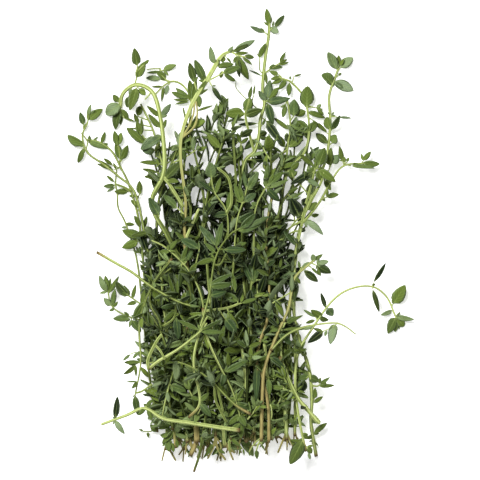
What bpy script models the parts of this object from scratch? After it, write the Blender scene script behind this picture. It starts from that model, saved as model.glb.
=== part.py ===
"""A bunch of cut thyme, lying on a table with its cut ends together.

Each sprig grew as one piece, so each is one closed solid: a square stem, as every plant of the mint
family has, with a pair of leaves at each joint, one pair turned a quarter from the next. The bunch
is made by laying the sprigs one on another: each route is set across the table, and its height
follows from what already lies beneath it. Lengths below are in millimetres.
"""

import math

import bmesh
import bpy
import numpy as np
from mathutils import Vector
from mathutils.bvhtree import BVHTree

MM = 0.001  # one millimetre in scene units

# The stems.
STEM_BASE = 1.25  # across a full sprig's square stem at its cut end
STEM_TIP = 0.62
CHORD = 11.5  # longest straight run between two rings of a stem
TURN = math.radians(26)  # most that a stem turns between two rings
CURVE_STEPS = 24  # points worked out between two points of a route
JOINT = 0.95  # length of stem that a pair of leaves grows from

# The leaves.
LEAF_LENGTH = 6.2
LEAF_WIDTH = 3.0
LEAF_THICK = 0.42
WIDEST_AT = 0.45  # share of a leaf's length at its widest point
LEAF_GAP = 0.3  # kept between a leaf and anything that isn't its own stem
UPWARD = 0.3  # how much a leaf's roll lifts its tip
WAVER = 0.12  # how far a leaf's lean strays either way, in radians
FOOT_SHARE = 0.9  # of a leaf's root, the part tested against other leaves
FOOT_OFF = 0.35  # and how far out from the stem it is tested
LIFTED = 2.0  # a stem lower than this has no leaves on its underside
# Ways of holding a leaf, in the order that they are tried: its lean away from the stem in radians, its
# roll, and its size as a share of the full one.
HOLDS = ((0.75, 0.0, 1.0), (0.4, 0.5, 0.95), (0.3, -0.5, 0.85), (1.0, 0.2, 0.8), (0.55, -0.2, 0.6))

# The pile.
GRID = 1.0  # cell of the height map of what has been laid
LAY_GAP = 0.55  # between a stem and what it lies on
PROP = 0.9  # how far above a stem's middle its leaves hold up the next stem
PROP_REACH = 3.2  # and how far to each side they reach
PROP_FALL = 0.25  # how much lower they hold it for each millimetre to the side
BODY_MARGIN = 0.7  # ground that a stem covers past its own half width
SAMPLE = 0.6  # between the points of a stem that are laid in turn
DROP = 0.013  # how soon a stiff stem comes down past what holds it up: fall = DROP * distance squared
FIELD = ((-66.0, 66.0), (-86.0, 90.0))  # ground that the height map covers
MIDDLE = (-1.4, -0.25)  # of the bunch's own box, in the routes' x and y, where the origin stands

# Beds of leafy sprigs fill the bunch: one bed under the sprigs with routes of their own, one among them.
UNDER_BED = 13
OVER_BED = 8
BED_FOOT = (-25.5, 19.5)  # x of the first and the last cut end
BED_WAIST = (-29.5, 15.5)
BED_TIP = (-30.0, 26.0)
BED_CUT = -66.0  # y of their cut ends
BED_REACH = 33.0  # y of the middle ones' tips, halfway between the shortest and the longest
BED_SPREAD = 13.0  # how far a tip may be from there, either way
BED_ROUNDING = 8.0  # how far the tips at the bunch's sides fall short of the middle ones
BED_DRIFT = 0.2  # how far a tip may stray, as a share of the way across the bunch
BED_LEAVES = 0.16  # share of their length below the first leaves
BED_STRIDE = 5  # each sprig is laid this many places over from the one before
BED_ENDS = (1.5, 3.0)  # how far a cut end strays to each side, and along the bunch
# Where a bed sprig bends: y, the shares of its foot's, waist's and tip's x in its own, and how far it
# sways from there to each side.
BED_BENDS = (
    (-39.0, 0.6, 0.4, 0.0, 4.0),
    (-11.0, 0.0, 1.0, 0.0, 5.0),
    (11.0, 0.0, 0.6, 0.4, 5.0),
)
BED_TIP_SWAY = 3.0
UNDER_SEED, OVER_SEED, LEAF_SEED = 40, 80, 500  # first seeds of the beds' sways and of the sprigs' leaves

# Colours of the three finishes: linear base colour and roughness.
FINISHES = {
    "leafy_green": ((0.085, 0.150, 0.060), 0.62),
    "young_green": ((0.190, 0.300, 0.090), 0.55),
    "woody_stem": ((0.300, 0.190, 0.080), 0.70),
}

# Sprigs with routes of their own, in the order that they are laid. Each has a name, a finish, the stem's
# width, where its leaves start as a share of its length, and its route over the table from its foot to
# its tip, x to the right and y towards the tips.
LOW_SPRIGS = (
    ("left_thin_arc", "leafy_green", 0.9, 0.45,
     ((-27, -63), (-30, -42), (-32, -22), (-34, -6), (-37.5, 5.3), (-40, 10.5), (-40.3, 15), (-41, 18.5))),
    ("left_fan_inner", "leafy_green", 1.1, 0.35,
     ((-23, -64), (-28, -40), (-31, -15), (-33, 5), (-36, 17), (-39, 23.5), (-42, 29), (-46, 32), (-50, 33))),
    ("left_fan_outer", "leafy_green", 1.1, 0.45,
     ((-19, -65), (-24, -40), (-28, -18), (-31, 1), (-34.5, 15.5), (-40, 21), (-45, 25), (-50, 28.7),
      (-51.7, 34), (-50, 38.5))),
    ("upper_left_fork", "leafy_green", 1.1, 0.4,
     ((-12, -63), (-14, -30), (-16, -8), (-19, 10), (-23, 17.5), (-26, 27), (-28.5, 36), (-32.5, 44.5))),
    ("upper_left_arc", "leafy_green", 1.1, 0.45,
     ((-16, -66), (-19, -35), (-20, -10), (-19, 10), (-18, 28), (-16.3, 40), (-16, 46), (-18, 50),
      (-20.8, 52), (-23.8, 52.2), (-25.9, 54.3), (-26.2, 56.3))),
    ("tallest", "leafy_green", 1.2, 0.4,
     ((2, -66), (3, -40), (2, -10), (0, 14), (1.5, 25.3), (4.8, 29), (6.2, 34), (6.7, 39.5), (8, 44.5),
      (7.4, 50), (8.2, 59), (9.4, 67), (9.6, 71))),
    ("upper_right_inner", "leafy_green", 1.1, 0.35,
     ((8, -64), (9, -40), (11, -15), (13, 5), (14.7, 22), (15.7, 31), (16.5, 38), (15.5, 46))),
    ("upper_right_hook", "leafy_green", 1.1, 0.4,
     ((12, -65), (12, -40), (12, -12), (13, 10), (16, 23), (21, 28.5), (22.6, 36), (21.3, 46), (17, 51.6),
      (14, 52.9), (11.6, 53.8))),
    ("upper_right_tall", "leafy_green", 1.2, 0.35,
     ((15, -66), (15.5, -40), (17, -14), (20, 5), (25, 18.5), (28.3, 27), (29.6, 38), (29.3, 47.5),
      (32, 55.5), (32.6, 59))),
    ("right_reaching", "leafy_green", 1.0, 0.4,
     ((18, -64), (18, -40), (17.8, -9), (19.8, 4), (26, 12.5), (30, 19.5), (34, 24.3), (41, 25.2))),
)
FRONT_SPRIGS = (
    ("right_edge", "leafy_green", 1.2, 0.2,
     ((25, -71), (23.3, -60), (23.5, -52), (22.5, -42), (19, -31), (17.3, -19), (18.8, -2), (22, 11),
      (26, 18), (27.5, 23))),
    ("right_arch", "young_green", 1.0, 0.55,
     ((21.5, -69), (19.2, -58), (18, -47), (19, -37), (23.5, -29), (30, -20), (36, -16), (43, -15.2),
      (48, -18.5), (51, -25))),
    ("woody_crossing", "woody_stem", 1.15, 0.5,
     ((9.4, -66), (9.2, -55), (7.6, -46), (5.4, -40), (6.5, -33), (9, -25), (9.5, -12), (8.5, 3), (11, 16))),
    ("woody_bowed", "woody_stem", 1.2, 0.5,
     ((6.9, -65.5), (7.2, -53), (8, -42), (12, -31), (15.7, -22.5), (17.6, -13), (21, -9.2), (25, -6))),
    ("upper_left_tall", "young_green", 1.3, 0.5,
     ((-16.2, -70.5), (-14.2, -64), (-14, -42), (-16, -20), (-18, 0), (-17.7, 13), (-19.2, 25), (-19, 34),
      (-15.7, 44), (-10.3, 53), (-6, 60), (-2, 62))),
    ("left_arch", "young_green", 1.35, 0.62,
     ((-14, -66), (-15, -45), (-15.5, -20), (-18.5, -8), (-21.3, -3.4), (-24.6, 3), (-27.8, 8.6),
      (-28.5, 14), (-25, 21.5), (-24.8, 30), (-26.2, 41), (-28.6, 48.3), (-34, 50.8), (-38.3, 48),
      (-39.3, 43.5))),
    ("centre_left_lean", "leafy_green", 1.0, 0.15,
     ((-8, -64), (-7, -40), (-6, -20), (-4, 0), (-4.5, 9.5), (-8.5, 16), (-9.6, 23))),
    ("centre_long", "leafy_green", 1.0, 0.15,
     ((-3, -65), (-4, -42), (-3, -22), (-2, -6), (-1, 6), (1.5, 14), (3, 20))),
    ("centre_right_long", "leafy_green", 1.0, 0.15,
     ((2, -66), (2.5, -40), (3.3, -19), (4.4, -8), (4.6, 3), (5.3, 11), (9.5, 19))),
    ("left_swing", "leafy_green", 1.0, 0.2,
     ((-15, -75.5), (-12.9, -68), (-10.5, -50), (-11.3, -30), (-12.7, -18), (-17.2, -9.2), (-24, -2.6),
      (-28.6, -0.2))),
    ("left_bare_curve", "young_green", 0.95, 0.75,
     ((-21, -68), (-23, -50), (-25.5, -29), (-28.8, -22), (-29.2, -17.5), (-26.8, -12.7), (-22.6, -9.2))),
    ("left_low_reach", "leafy_green", 0.9, 0.5,
     ((-22, -62), (-24.5, -42), (-29, -28.5), (-38, -24.3), (-42, -21.3), (-43.3, -16))),
    ("left_reach", "leafy_green", 0.9, 0.5,
     ((-17, -60), (-22, -44), (-25, -32), (-30, -23), (-37, -17.5))),
    ("left_drooping", "leafy_green", 0.9, 0.15,
     ((-22, -6), (-28, -14), (-32.5, -26), (-32.3, -40), (-34.3, -51))),
    ("cross_cutting", "young_green", 1.0, 0.55,
     ((-46.5, -4), (-40, -7.7), (-35, -10.5), (-28.5, -15.3), (-20, -20), (-13, -22))),
    ("right_thin", "young_green", 0.8, 0.3,
     ((10, -36), (15, -31), (21, -28.3), (30, -27), (34, -28), (37.7, -30.7))),
    ("low_right_shoot", "leafy_green", 0.8, 0.3,
     ((13, -38), (18, -50), (22.6, -56), (25.8, -59.6))),
    ("low_left_shoot", "young_green", 0.8, 0.3,
     ((-17, -28), (-20.5, -39), (-23.5, -49), (-25.5, -58))),
    ("front_down", "young_green", 0.95, 0.3,
     ((-12, -22), (-10.8, -31), (-6.5, -41), (-2.5, -49), (0.5, -59))),
    ("front_long", "young_green", 1.05, 0.25,
     ((-16.7, -57.8), (-13, -52.5), (-15, -40), (-13.3, -30), (-10, -18), (-8, -6), (-3.5, 1.5), (1.5, 4.5))),
    ("low_cutting", "woody_stem", 0.9, 0.35,
     ((3.5, -56.5), (-2, -53), (-10, -45), (-16, -41), (-20, -39.5))),
    ("front_star", "young_green", 1.0, 0.45,
     ((-29.6, -41.8), (-26.5, -39.2), (-20, -35.3), (-13, -29.7), (-10.8, -27))),
    ("bottom_arc", "young_green", 1.35, 0.75,
     ((0, -61.8), (-8, -60.7), (-17, -59.3), (-25, -58), (-31, -54.7), (-37, -57), (-45, -60))),
)


def smooth_route(points, step=0.5):
    """Points `step` apart on the Catmull-Rom curve through the given ones."""
    p = np.asarray(points, float)
    p = np.vstack([2 * p[0] - p[1], p, 2 * p[-1] - p[-2]])
    t = np.linspace(0, 1, CURVE_STEPS, endpoint=False)[:, None]
    runs = []
    for a, b, c, d in zip(p[:-3], p[1:-2], p[2:-1], p[3:]):
        runs.append(b + 0.5 * t * (c - a + t * (2 * a - 5 * b + 4 * c - d + t * (3 * (b - c) + d - a))))
    curve = np.vstack([*runs, p[-2]])
    along = np.concatenate([[0], np.cumsum(np.linalg.norm(np.diff(curve, axis=0), axis=1))])
    at = np.linspace(0, along[-1], int(along[-1] / step) + 2)
    return np.column_stack([np.interp(at, along, curve[:, k]) for k in range(p.shape[1])])


def stations(points):
    """The route's ring places: closer together where it bends."""
    fine = smooth_route(points)
    runs = np.diff(fine, axis=0)
    heading = np.unwrap(np.arctan2(runs[:, 1], runs[:, 0]))
    cost = np.linalg.norm(runs, axis=1) / CHORD
    cost[1:] += np.abs(np.diff(heading)) / TURN
    total = np.concatenate([[0], np.cumsum(cost)])
    at = np.linspace(0, total[-1], max(3, math.ceil(total[-1]) + 1))
    return np.column_stack([np.interp(at, total, fine[:, k]) for k in range(2)])


class Pile:
    """What has been laid so far, as the height of its top over a grid on the table."""

    def __init__(self):
        (x0, x1), (y0, y1) = FIELD
        self.x = np.arange(x0, x1 + GRID, GRID)
        self.y = np.arange(y0, y1 + GRID, GRID)
        self.top = np.zeros((len(self.x), len(self.y)))

    def window(self, point, reach):
        """The square of cells that reaches `reach` to each side of a point."""
        i0, i1 = np.searchsorted(self.x, (point[0] - reach, point[0] + reach))
        j0, j1 = np.searchsorted(self.y, (point[1] - reach, point[1] + reach))
        return slice(i0, i1), slice(j0, j1)

    def raise_to(self, point, z, half, reach):
        """Adds a stem's point at height z: its own top, and out to `reach` what its leaves hold up."""
        window = self.window(point, reach)
        away = np.hypot(self.x[window[0]][:, None] - point[0], self.y[window[1]] - point[1])
        held = np.where(away < half + BODY_MARGIN, z + half, z + PROP - PROP_FALL * away)
        self.top[window] = np.where(away < reach, np.maximum(self.top[window], held), self.top[window])

    def lay(self, ground, halves, leafy_from):
        """Heights of a stem's rings so that each straight run clears what is beneath it.

        A ring stands as high as the highest thing under the runs on both its sides, and a stiff stem
        comes down from there along a parabola. The stem, and its leaves from `leafy_from` on, are then
        added to the pile.
        """
        need = halves + 0.0
        runs = []
        for k in range(len(ground) - 1):
            span = np.linalg.norm(ground[k + 1] - ground[k])
            share = np.linspace(0, 1, int(span / SAMPLE) + 2)[:, None]
            samples = ground[k] + share * (ground[k + 1] - ground[k])
            runs.append((samples, share[:, 0]))
            tops = [self.top[self.window(sample, halves[k] + GRID)] for sample in samples]
            highest = max(top.max(initial=0.0) for top in tops)
            if highest > 0:
                lift = highest + LAY_GAP
                need[k] = max(need[k], lift + halves[k])
                need[k + 1] = max(need[k + 1], lift + halves[k + 1])
        along = np.concatenate([[0], np.cumsum(np.linalg.norm(np.diff(ground, axis=0), axis=1))])
        apart = np.abs(along[:, None] - along)
        height = np.maximum(need, (need - DROP * apart**2).max(axis=1))
        for k, (samples, share) in enumerate(runs):
            level = height[k] + share * (height[k + 1] - height[k])
            leafy = k + 1 >= leafy_from * len(runs)
            reach = PROP_REACH if leafy else halves[k] + BODY_MARGIN
            for sample, z in zip(samples, level):
                self.raise_to(sample, z, halves[k], reach)
        return height


def bed_route(share, seed):
    """A bed sprig's route: from its foot through the bunch's waist to its tip, with a small sway."""
    sway = np.random.default_rng(seed).uniform(-1, 1, 8)
    foot, waist = (lo + share * (hi - lo) for lo, hi in (BED_FOOT, BED_WAIST))
    tip = BED_TIP[0] + np.clip(share + BED_DRIFT * sway[7], 0, 1) * (BED_TIP[1] - BED_TIP[0])
    reach = BED_REACH + BED_SPREAD * sway[0] - BED_ROUNDING * abs(2 * share - 1)
    bends = [
        (a * foot + b * waist + c * tip + wide * by, y)
        for (y, a, b, c, wide), by in zip(BED_BENDS, sway[3:6])
    ]
    cut_end = (foot + BED_ENDS[0] * sway[1], BED_CUT + BED_ENDS[1] * sway[2])
    return (cut_end, *bends, (tip + BED_TIP_SWAY * sway[6], reach))


def bed(name, count, seed):
    """The sprigs of one bed, taken across the bunch in steps so that neighbours aren't laid in turn."""
    made = []
    for k in range(count):
        share = ((k * BED_STRIDE) % count + 0.5) / count
        made.append((f"{name}_{k + 1:02d}", "leafy_green", STEM_BASE, BED_LEAVES, bed_route(share, seed + k)))
    return made


def finish(name):
    """The named finish as a Principled material."""
    colour, rough = FINISHES[name]
    material = bpy.data.materials.new(name)
    material.use_nodes = True
    shader = material.node_tree.nodes["Principled BSDF"]
    shader.inputs["Base Color"].default_value = (*colour, 1)
    shader.inputs["Roughness"].default_value = rough
    shader.inputs["Metallic"].default_value = 0
    material.diffuse_color = (*colour, 1)
    return material


def axes_at(points, k):
    """Along, to the right of and above a stem at one of its rings."""
    ahead = points[min(k + 1, len(points) - 1)] - points[max(k - 1, 0)]
    ahead /= np.linalg.norm(ahead)
    right = np.cross(ahead, (0, 0, 1))
    right /= np.linalg.norm(right)
    return ahead, right, np.cross(right, ahead)


def ring_at(centre, right, up, half):
    """The corners of the square stem, bottom left round to top left, none of them below the table."""
    corners = [centre + half * (a * right + b * up) for a, b in ((-1, -1), (1, -1), (1, 1), (-1, 1))]
    return [(x, y, max(z, 0.0)) for x, y, z in corners]


def stem_mesh(points, halves, joints):
    """A closed square tube along the stem. Each joint is a short run, whose sides are returned."""
    bm = bmesh.new()
    rings = []
    sides = {}
    for k, point in enumerate(points):
        ahead, right, up = axes_at(points, k)
        places = (-0.5 * JOINT, 0.5 * JOINT) if k in joints else (0.0,)
        for place in places:
            corners = ring_at(point + place * ahead, right, up, halves[k])
            rings.append([bm.verts.new(c) for c in corners])
            if place > 0:
                sides[k] = len(rings) - 2
    bm.faces.new(rings[0])
    bm.faces.new(rings[-1][::-1])
    walls = []
    for low, high in zip(rings, rings[1:]):
        walls.append([bm.faces.new((low[n], high[n], high[(n + 1) % 4], low[(n + 1) % 4])) for n in range(4)])
    return bm, {k: walls[n] for k, n in sides.items()}


class Space:
    """Everything that a new leaf has to stay clear of, as trees with their boxes."""

    def __init__(self):
        self.low = []
        self.high = []
        self.trees = []
        self.owners = []

    def add(self, owner, corners, faces):
        corners = np.asarray(corners)
        self.low.append(corners.min(axis=0))
        self.high.append(corners.max(axis=0))
        self.trees.append(BVHTree.FromPolygons([Vector(c) for c in corners], faces))
        self.owners.append(owner)

    def clear(self, corners, faces, but=None):
        corners = np.asarray(corners)
        near = (np.array(self.low) < corners.max(axis=0)) & (np.array(self.high) > corners.min(axis=0))
        tree = BVHTree.FromPolygons([Vector(c) for c in corners], faces)
        for n in np.nonzero(near.all(axis=1))[0]:
            if self.owners[n] != but and tree.overlap(self.trees[n]):
                return False
        return True


LEAF_FACES = ((3, 2, 1, 0), (0, 1, 5, 4), (1, 2, 6, 5), (2, 3, 7, 6), (3, 0, 4, 7),
              (4, 5, 8), (5, 6, 8), (6, 7, 8), (7, 4, 8))


def leaf_corners(root, out, across, length, width, swell=0.0):
    """A leaf's waist and tip, from the four corners of its root.

    `out` is the way that it points, `across` the way that it is wide. Each root corner gives the waist
    corner on its own side. A leaf that would go below the table is lifted onto it. With `swell` the
    leaf is thicker, wider and longer by that much, to test what is near it.
    """
    centre = root.mean(axis=0)
    normal = np.cross(out, across)
    normal /= np.linalg.norm(normal)
    waist = []
    for corner in root:
        a = np.sign((corner - centre) @ across)
        b = np.sign((corner - centre) @ normal)
        place = centre + WIDEST_AT * length * out
        place = place + a * (0.5 * width + swell) * across + b * (0.5 * LEAF_THICK + swell) * normal
        waist.append(place)
    waist = np.array(waist)
    tip = centre + (length + swell) * out
    waist[:, 2] += max(-swell - waist[:, 2].min(), 0.0)
    tip[2] = max(tip[2], 0.5 * LEAF_THICK)
    return waist, tip


def grow_leaf(bm, wall, side, axes, space, owner, rng):
    """Draws one leaf out of a side of a joint, if one of a few ways of holding it is clear."""
    ahead, right, up = axes
    outward = (-up, right, up, -right)[side]
    root = np.array([v.co for v in wall.verts])
    centre = root.mean(axis=0)
    for lean, roll, grown in HOLDS:
        angle = lean + rng.uniform(-WAVER, WAVER)
        out = math.cos(angle) * ahead + math.sin(angle) * outward + UPWARD * roll * up
        out /= np.linalg.norm(out)
        if side in (1, 3):
            across = np.cross(up, out)
            if across @ ahead < 0:
                across = -across
        else:
            across = right.copy()
        across -= (across @ out) * out
        across /= np.linalg.norm(across)
        length = LEAF_LENGTH * grown * rng.uniform(0.85, 1.15)
        width = LEAF_WIDTH * grown * rng.uniform(0.85, 1.1)
        waist, tip = leaf_corners(root, out, across, length, width)
        wide, point = leaf_corners(root, out, across, length, width, LEAF_GAP)
        foot = centre + FOOT_SHARE * (root - centre) + FOOT_OFF * outward
        trial = np.vstack([foot, wide, point])
        buried = side == 0 and tip[2] < LEAF_THICK
        if buried or not space.clear(trial, LEAF_FACES, owner + "_stem"):
            continue
        far = bmesh.ops.extrude_discrete_faces(bm, faces=[wall])["faces"][0]
        for vert in far.verts:
            nearest = np.argmin(np.linalg.norm(root - np.array(vert.co), axis=1))
            vert.co = waist[nearest]
        peak = bmesh.ops.poke(bm, faces=[far])["verts"][0]
        peak.co = tip
        space.add(owner, np.vstack([root, waist, tip]), LEAF_FACES)
        return True
    return False


def main():
    for old in list(bpy.data.objects):
        bpy.data.objects.remove(old, do_unlink=True)
    finishes = {name: finish(name) for name in FINISHES}
    plan = [
        *bed("under_sprig", UNDER_BED, UNDER_SEED), *LOW_SPRIGS,
        *bed("over_sprig", OVER_BED, OVER_SEED), *FRONT_SPRIGS,
    ]
    pile = Pile()
    space = Space()
    laid = []
    for name, look, width, leafy_from, points in plan:
        ground = stations(points) - MIDDLE
        halves = 0.5 * np.linspace(width, min(width, STEM_TIP), len(ground))
        height = pile.lay(ground, halves, leafy_from)
        places = np.column_stack([ground, height])
        count = len(places)
        joints = {k for k in range(1, count) if k >= leafy_from * (count - 1)}
        bm, walls = stem_mesh(places, halves, joints)
        bm.verts.index_update()
        corners = [np.array(v.co) for v in bm.verts]
        space.add(name + "_stem", corners, [[v.index for v in f.verts] for f in bm.faces])
        laid.append((name, look, places, bm, walls))
    for number, (name, look, places, bm, walls) in enumerate(laid):
        rng = np.random.default_rng(LEAF_SEED + number)
        for k in sorted(walls):
            axes = axes_at(places, k)
            for side in ((1, 3) if k % 2 else (2, 0)):
                if side or places[k, 2] > LIFTED:
                    grow_leaf(bm, walls[k][side], side, axes, space, name, rng)
        bmesh.ops.recalc_face_normals(bm, faces=bm.faces)
        bmesh.ops.scale(bm, vec=(MM, MM, MM), verts=bm.verts)
        mesh = bpy.data.meshes.new(name)
        bm.to_mesh(mesh)
        bm.free()
        mesh.materials.append(finishes[look])
        sprig = bpy.data.objects.new(name, mesh)
        bpy.context.scene.collection.objects.link(sprig)


main()
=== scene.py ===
"""A bunch of fresh cut thyme, lying on a pale table, cut ends towards the viewer's feet.

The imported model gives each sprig's place. Here every sprig is grown again along the same route, with
its rounded square stem, its side shoots and all of its small leaves.
"""
import math

import bpy
import numpy as np

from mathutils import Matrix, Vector


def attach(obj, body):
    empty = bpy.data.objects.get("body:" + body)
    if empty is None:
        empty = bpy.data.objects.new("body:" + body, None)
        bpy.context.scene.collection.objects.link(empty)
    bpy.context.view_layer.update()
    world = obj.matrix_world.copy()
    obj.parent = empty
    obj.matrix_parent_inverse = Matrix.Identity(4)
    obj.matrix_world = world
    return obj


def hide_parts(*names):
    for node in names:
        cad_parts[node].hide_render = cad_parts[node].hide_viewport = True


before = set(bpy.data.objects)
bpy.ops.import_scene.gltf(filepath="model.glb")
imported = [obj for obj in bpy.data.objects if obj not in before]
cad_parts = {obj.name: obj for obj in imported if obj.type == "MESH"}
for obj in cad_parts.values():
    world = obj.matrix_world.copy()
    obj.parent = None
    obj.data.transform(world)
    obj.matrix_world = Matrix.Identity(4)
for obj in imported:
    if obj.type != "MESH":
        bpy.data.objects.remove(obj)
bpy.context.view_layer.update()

# The table, the light and the camera. The bunch lies on a plain pale table, lit by a bright lamp above
# the tips and a wide weak one above the cut ends, in a pale room. The camera looks straight down on it.
MM = 0.001
MIDDLE = (-1.4, -0.25)  # mm, where the frame's origin stands in the routes' own x and y
ACROSS = 157.6  # mm of table across the view
CAMERA_UP = 1.6  # m
TABLE_HALF = 2.0  # m
TABLE_DOWN = 1e-4  # m, just under the ground that the bunch lies on
TABLE_GLOW = 0.47  # light of its own, which keeps its shadows faint
ROOM_LIGHT = 0.19
LAMPS = (("key", (-0.3, 0.38, 0.85), 0.4, 14.2),  # place and width in m, then watts
         ("fill", (0.45, -0.75, 0.6), 0.9, 2.6))

camera = bpy.data.cameras.new("camera")
camera.lens = camera.sensor_width * CAMERA_UP / (ACROSS * MM)
camera_object = bpy.data.objects.new("camera", camera)
camera_object.location = (-MIDDLE[0] * MM, -MIDDLE[1] * MM, CAMERA_UP)
bpy.context.scene.collection.objects.link(camera_object)
bpy.context.scene.camera = camera_object
bpy.context.scene.view_settings.view_transform = "Standard"

table_mesh = bpy.data.meshes.new("table")
signs = ((-1, -1), (1, -1), (1, 1), (-1, 1))
table_corners = [(x * TABLE_HALF, y * TABLE_HALF, -TABLE_DOWN) for x, y in signs]
table_mesh.from_pydata(table_corners, [], [(0, 1, 2, 3)])
table = bpy.data.objects.new("table", table_mesh)
table_paint = bpy.data.materials.new("pale table")
table_paint.use_nodes = True
table_shader = table_paint.node_tree.nodes["Principled BSDF"]
table_shader.inputs["Base Color"].default_value = (0.93, 0.93, 0.93, 1)
table_shader.inputs["Roughness"].default_value = 0.9
table_shader.inputs["Emission Color"].default_value = (1, 1, 1, 1)
table_shader.inputs["Emission Strength"].default_value = TABLE_GLOW
table_mesh.materials.append(table_paint)
bpy.context.scene.collection.objects.link(table)

for lamp_name, place, size, watts in LAMPS:
    lamp = bpy.data.lights.new(lamp_name, "AREA")
    lamp.shape = "DISK"
    lamp.size = size
    lamp.energy = watts
    lamp_object = bpy.data.objects.new(lamp_name, lamp)
    lamp_object.location = place
    lamp_object.rotation_euler = (-Vector(place)).to_track_quat("-Z", "Y").to_euler()
    bpy.context.scene.collection.objects.link(lamp_object)
surround = bpy.data.worlds.new("surround")
surround.use_nodes = True
surround.node_tree.nodes["Background"].inputs["Color"].default_value = (1, 1, 1, 1)
surround.node_tree.nodes["Background"].inputs["Strength"].default_value = ROOM_LIGHT
bpy.context.scene.world = surround


# The sprigs as laid. They were put down one on another, so each one's height follows from what was
# under it, and a stiff stem comes down slowly past what holds it up. Routes are in mm over the table,
# from the cut end to the tip: a name, its tint, its width, where its leaves start, its points.
STEM_BASE = 1.25  # across a full sprig's square stem at its cut end
STEM_TIP = 0.62
CHORD = 11.5  # longest straight run between two rings of a stem
TURN = math.radians(26)  # most that a stem turns between two rings
CURVE_STEPS = 24  # points worked out between two points of a route
GRID = 1.0  # cell of the height map of what has been laid
LAY_GAP = 0.55  # between a stem and what it lies on
PROP = 0.9  # how far above a stem's middle its leaves hold up the next stem
PROP_REACH = 3.2  # and how far to each side they reach
PROP_FALL = 0.25  # how much lower they hold it for each millimetre to the side
BODY_MARGIN = 0.7  # ground that a stem covers past its own half width
SAMPLE = 0.6  # between the points of a stem that are laid in turn
DROP = 0.013  # how soon a stiff stem comes down past what holds it up: fall = DROP * distance squared
FIELD = ((-66.0, 66.0), (-86.0, 90.0))  # ground that the height map covers
UNDER_BED = 13
OVER_BED = 8
BED_FOOT = (-25.5, 19.5)  # x of the first and the last cut end
BED_WAIST = (-29.5, 15.5)
BED_TIP = (-30.0, 26.0)
BED_CUT = -66.0  # y of their cut ends
BED_REACH = 33.0  # y of the middle ones' tips, halfway between the shortest and the longest
BED_SPREAD = 13.0  # how far a tip may be from there, either way
BED_ROUNDING = 8.0  # how far the tips at the bunch's sides fall short of the middle ones
BED_DRIFT = 0.2  # how far a tip may stray, as a share of the way across the bunch
BED_LEAVES = 0.16  # share of their length below the first leaves
BED_STRIDE = 5  # each sprig is laid this many places over from the one before
BED_ENDS = (1.5, 3.0)  # how far a cut end strays to each side, and along the bunch
BED_BENDS = ((-39.0, 0.6, 0.4, 0.0, 4.0),  # y, shares of the foot's, waist's and tip's x, and the sway
             (-11.0, 0.0, 1.0, 0.0, 5.0),
             (11.0, 0.0, 0.6, 0.4, 5.0))
BED_TIP_SWAY = 3.0
UNDER_SEED, OVER_SEED = 40, 80
LOW_SPRIGS = (
    ("left_thin_arc", "leafy_green", 0.9, 0.45,
     ((-27, -63), (-30, -42), (-32, -22), (-34, -6), (-37.5, 5.3), (-40, 10.5), (-40.3, 15), (-41, 18.5))),
    ("left_fan_inner", "leafy_green", 1.1, 0.35,
     ((-23, -64), (-28, -40), (-31, -15), (-33, 5), (-36, 17), (-39, 23.5), (-42, 29), (-46, 32), (-50, 33))),
    ("left_fan_outer", "leafy_green", 1.1, 0.45,
     ((-19, -65), (-24, -40), (-28, -18), (-31, 1), (-34.5, 15.5), (-40, 21), (-45, 25), (-50, 28.7),
      (-51.7, 34), (-50, 38.5))),
    ("upper_left_fork", "leafy_green", 1.1, 0.4,
     ((-12, -63), (-14, -30), (-16, -8), (-19, 10), (-23, 17.5), (-26, 27), (-28.5, 36), (-32.5, 44.5))),
    ("upper_left_arc", "leafy_green", 1.1, 0.45,
     ((-16, -66), (-19, -35), (-20, -10), (-19, 10), (-18, 28), (-16.3, 40), (-16, 46), (-18, 50),
      (-20.8, 52), (-23.8, 52.2), (-25.9, 54.3), (-26.2, 56.3))),
    ("tallest", "leafy_green", 1.2, 0.4,
     ((2, -66), (3, -40), (2, -10), (0, 14), (1.5, 25.3), (4.8, 29), (6.2, 34), (6.7, 39.5), (8, 44.5),
      (7.4, 50), (8.2, 59), (9.4, 67), (9.6, 71))),
    ("upper_right_inner", "leafy_green", 1.1, 0.35,
     ((8, -64), (9, -40), (11, -15), (13, 5), (14.7, 22), (15.7, 31), (16.5, 38), (15.5, 46))),
    ("upper_right_hook", "leafy_green", 1.1, 0.4,
     ((12, -65), (12, -40), (12, -12), (13, 10), (16, 23), (21, 28.5), (22.6, 36), (21.3, 46), (17, 51.6),
      (14, 52.9), (11.6, 53.8))),
    ("upper_right_tall", "leafy_green", 1.2, 0.35,
     ((15, -66), (15.5, -40), (17, -14), (20, 5), (25, 18.5), (28.3, 27), (29.6, 38), (29.3, 47.5),
      (32, 55.5), (32.6, 59))),
    ("right_reaching", "leafy_green", 1.0, 0.4,
     ((18, -64), (18, -40), (17.8, -9), (19.8, 4), (26, 12.5), (30, 19.5), (34, 24.3), (41, 25.2))),
)
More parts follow.
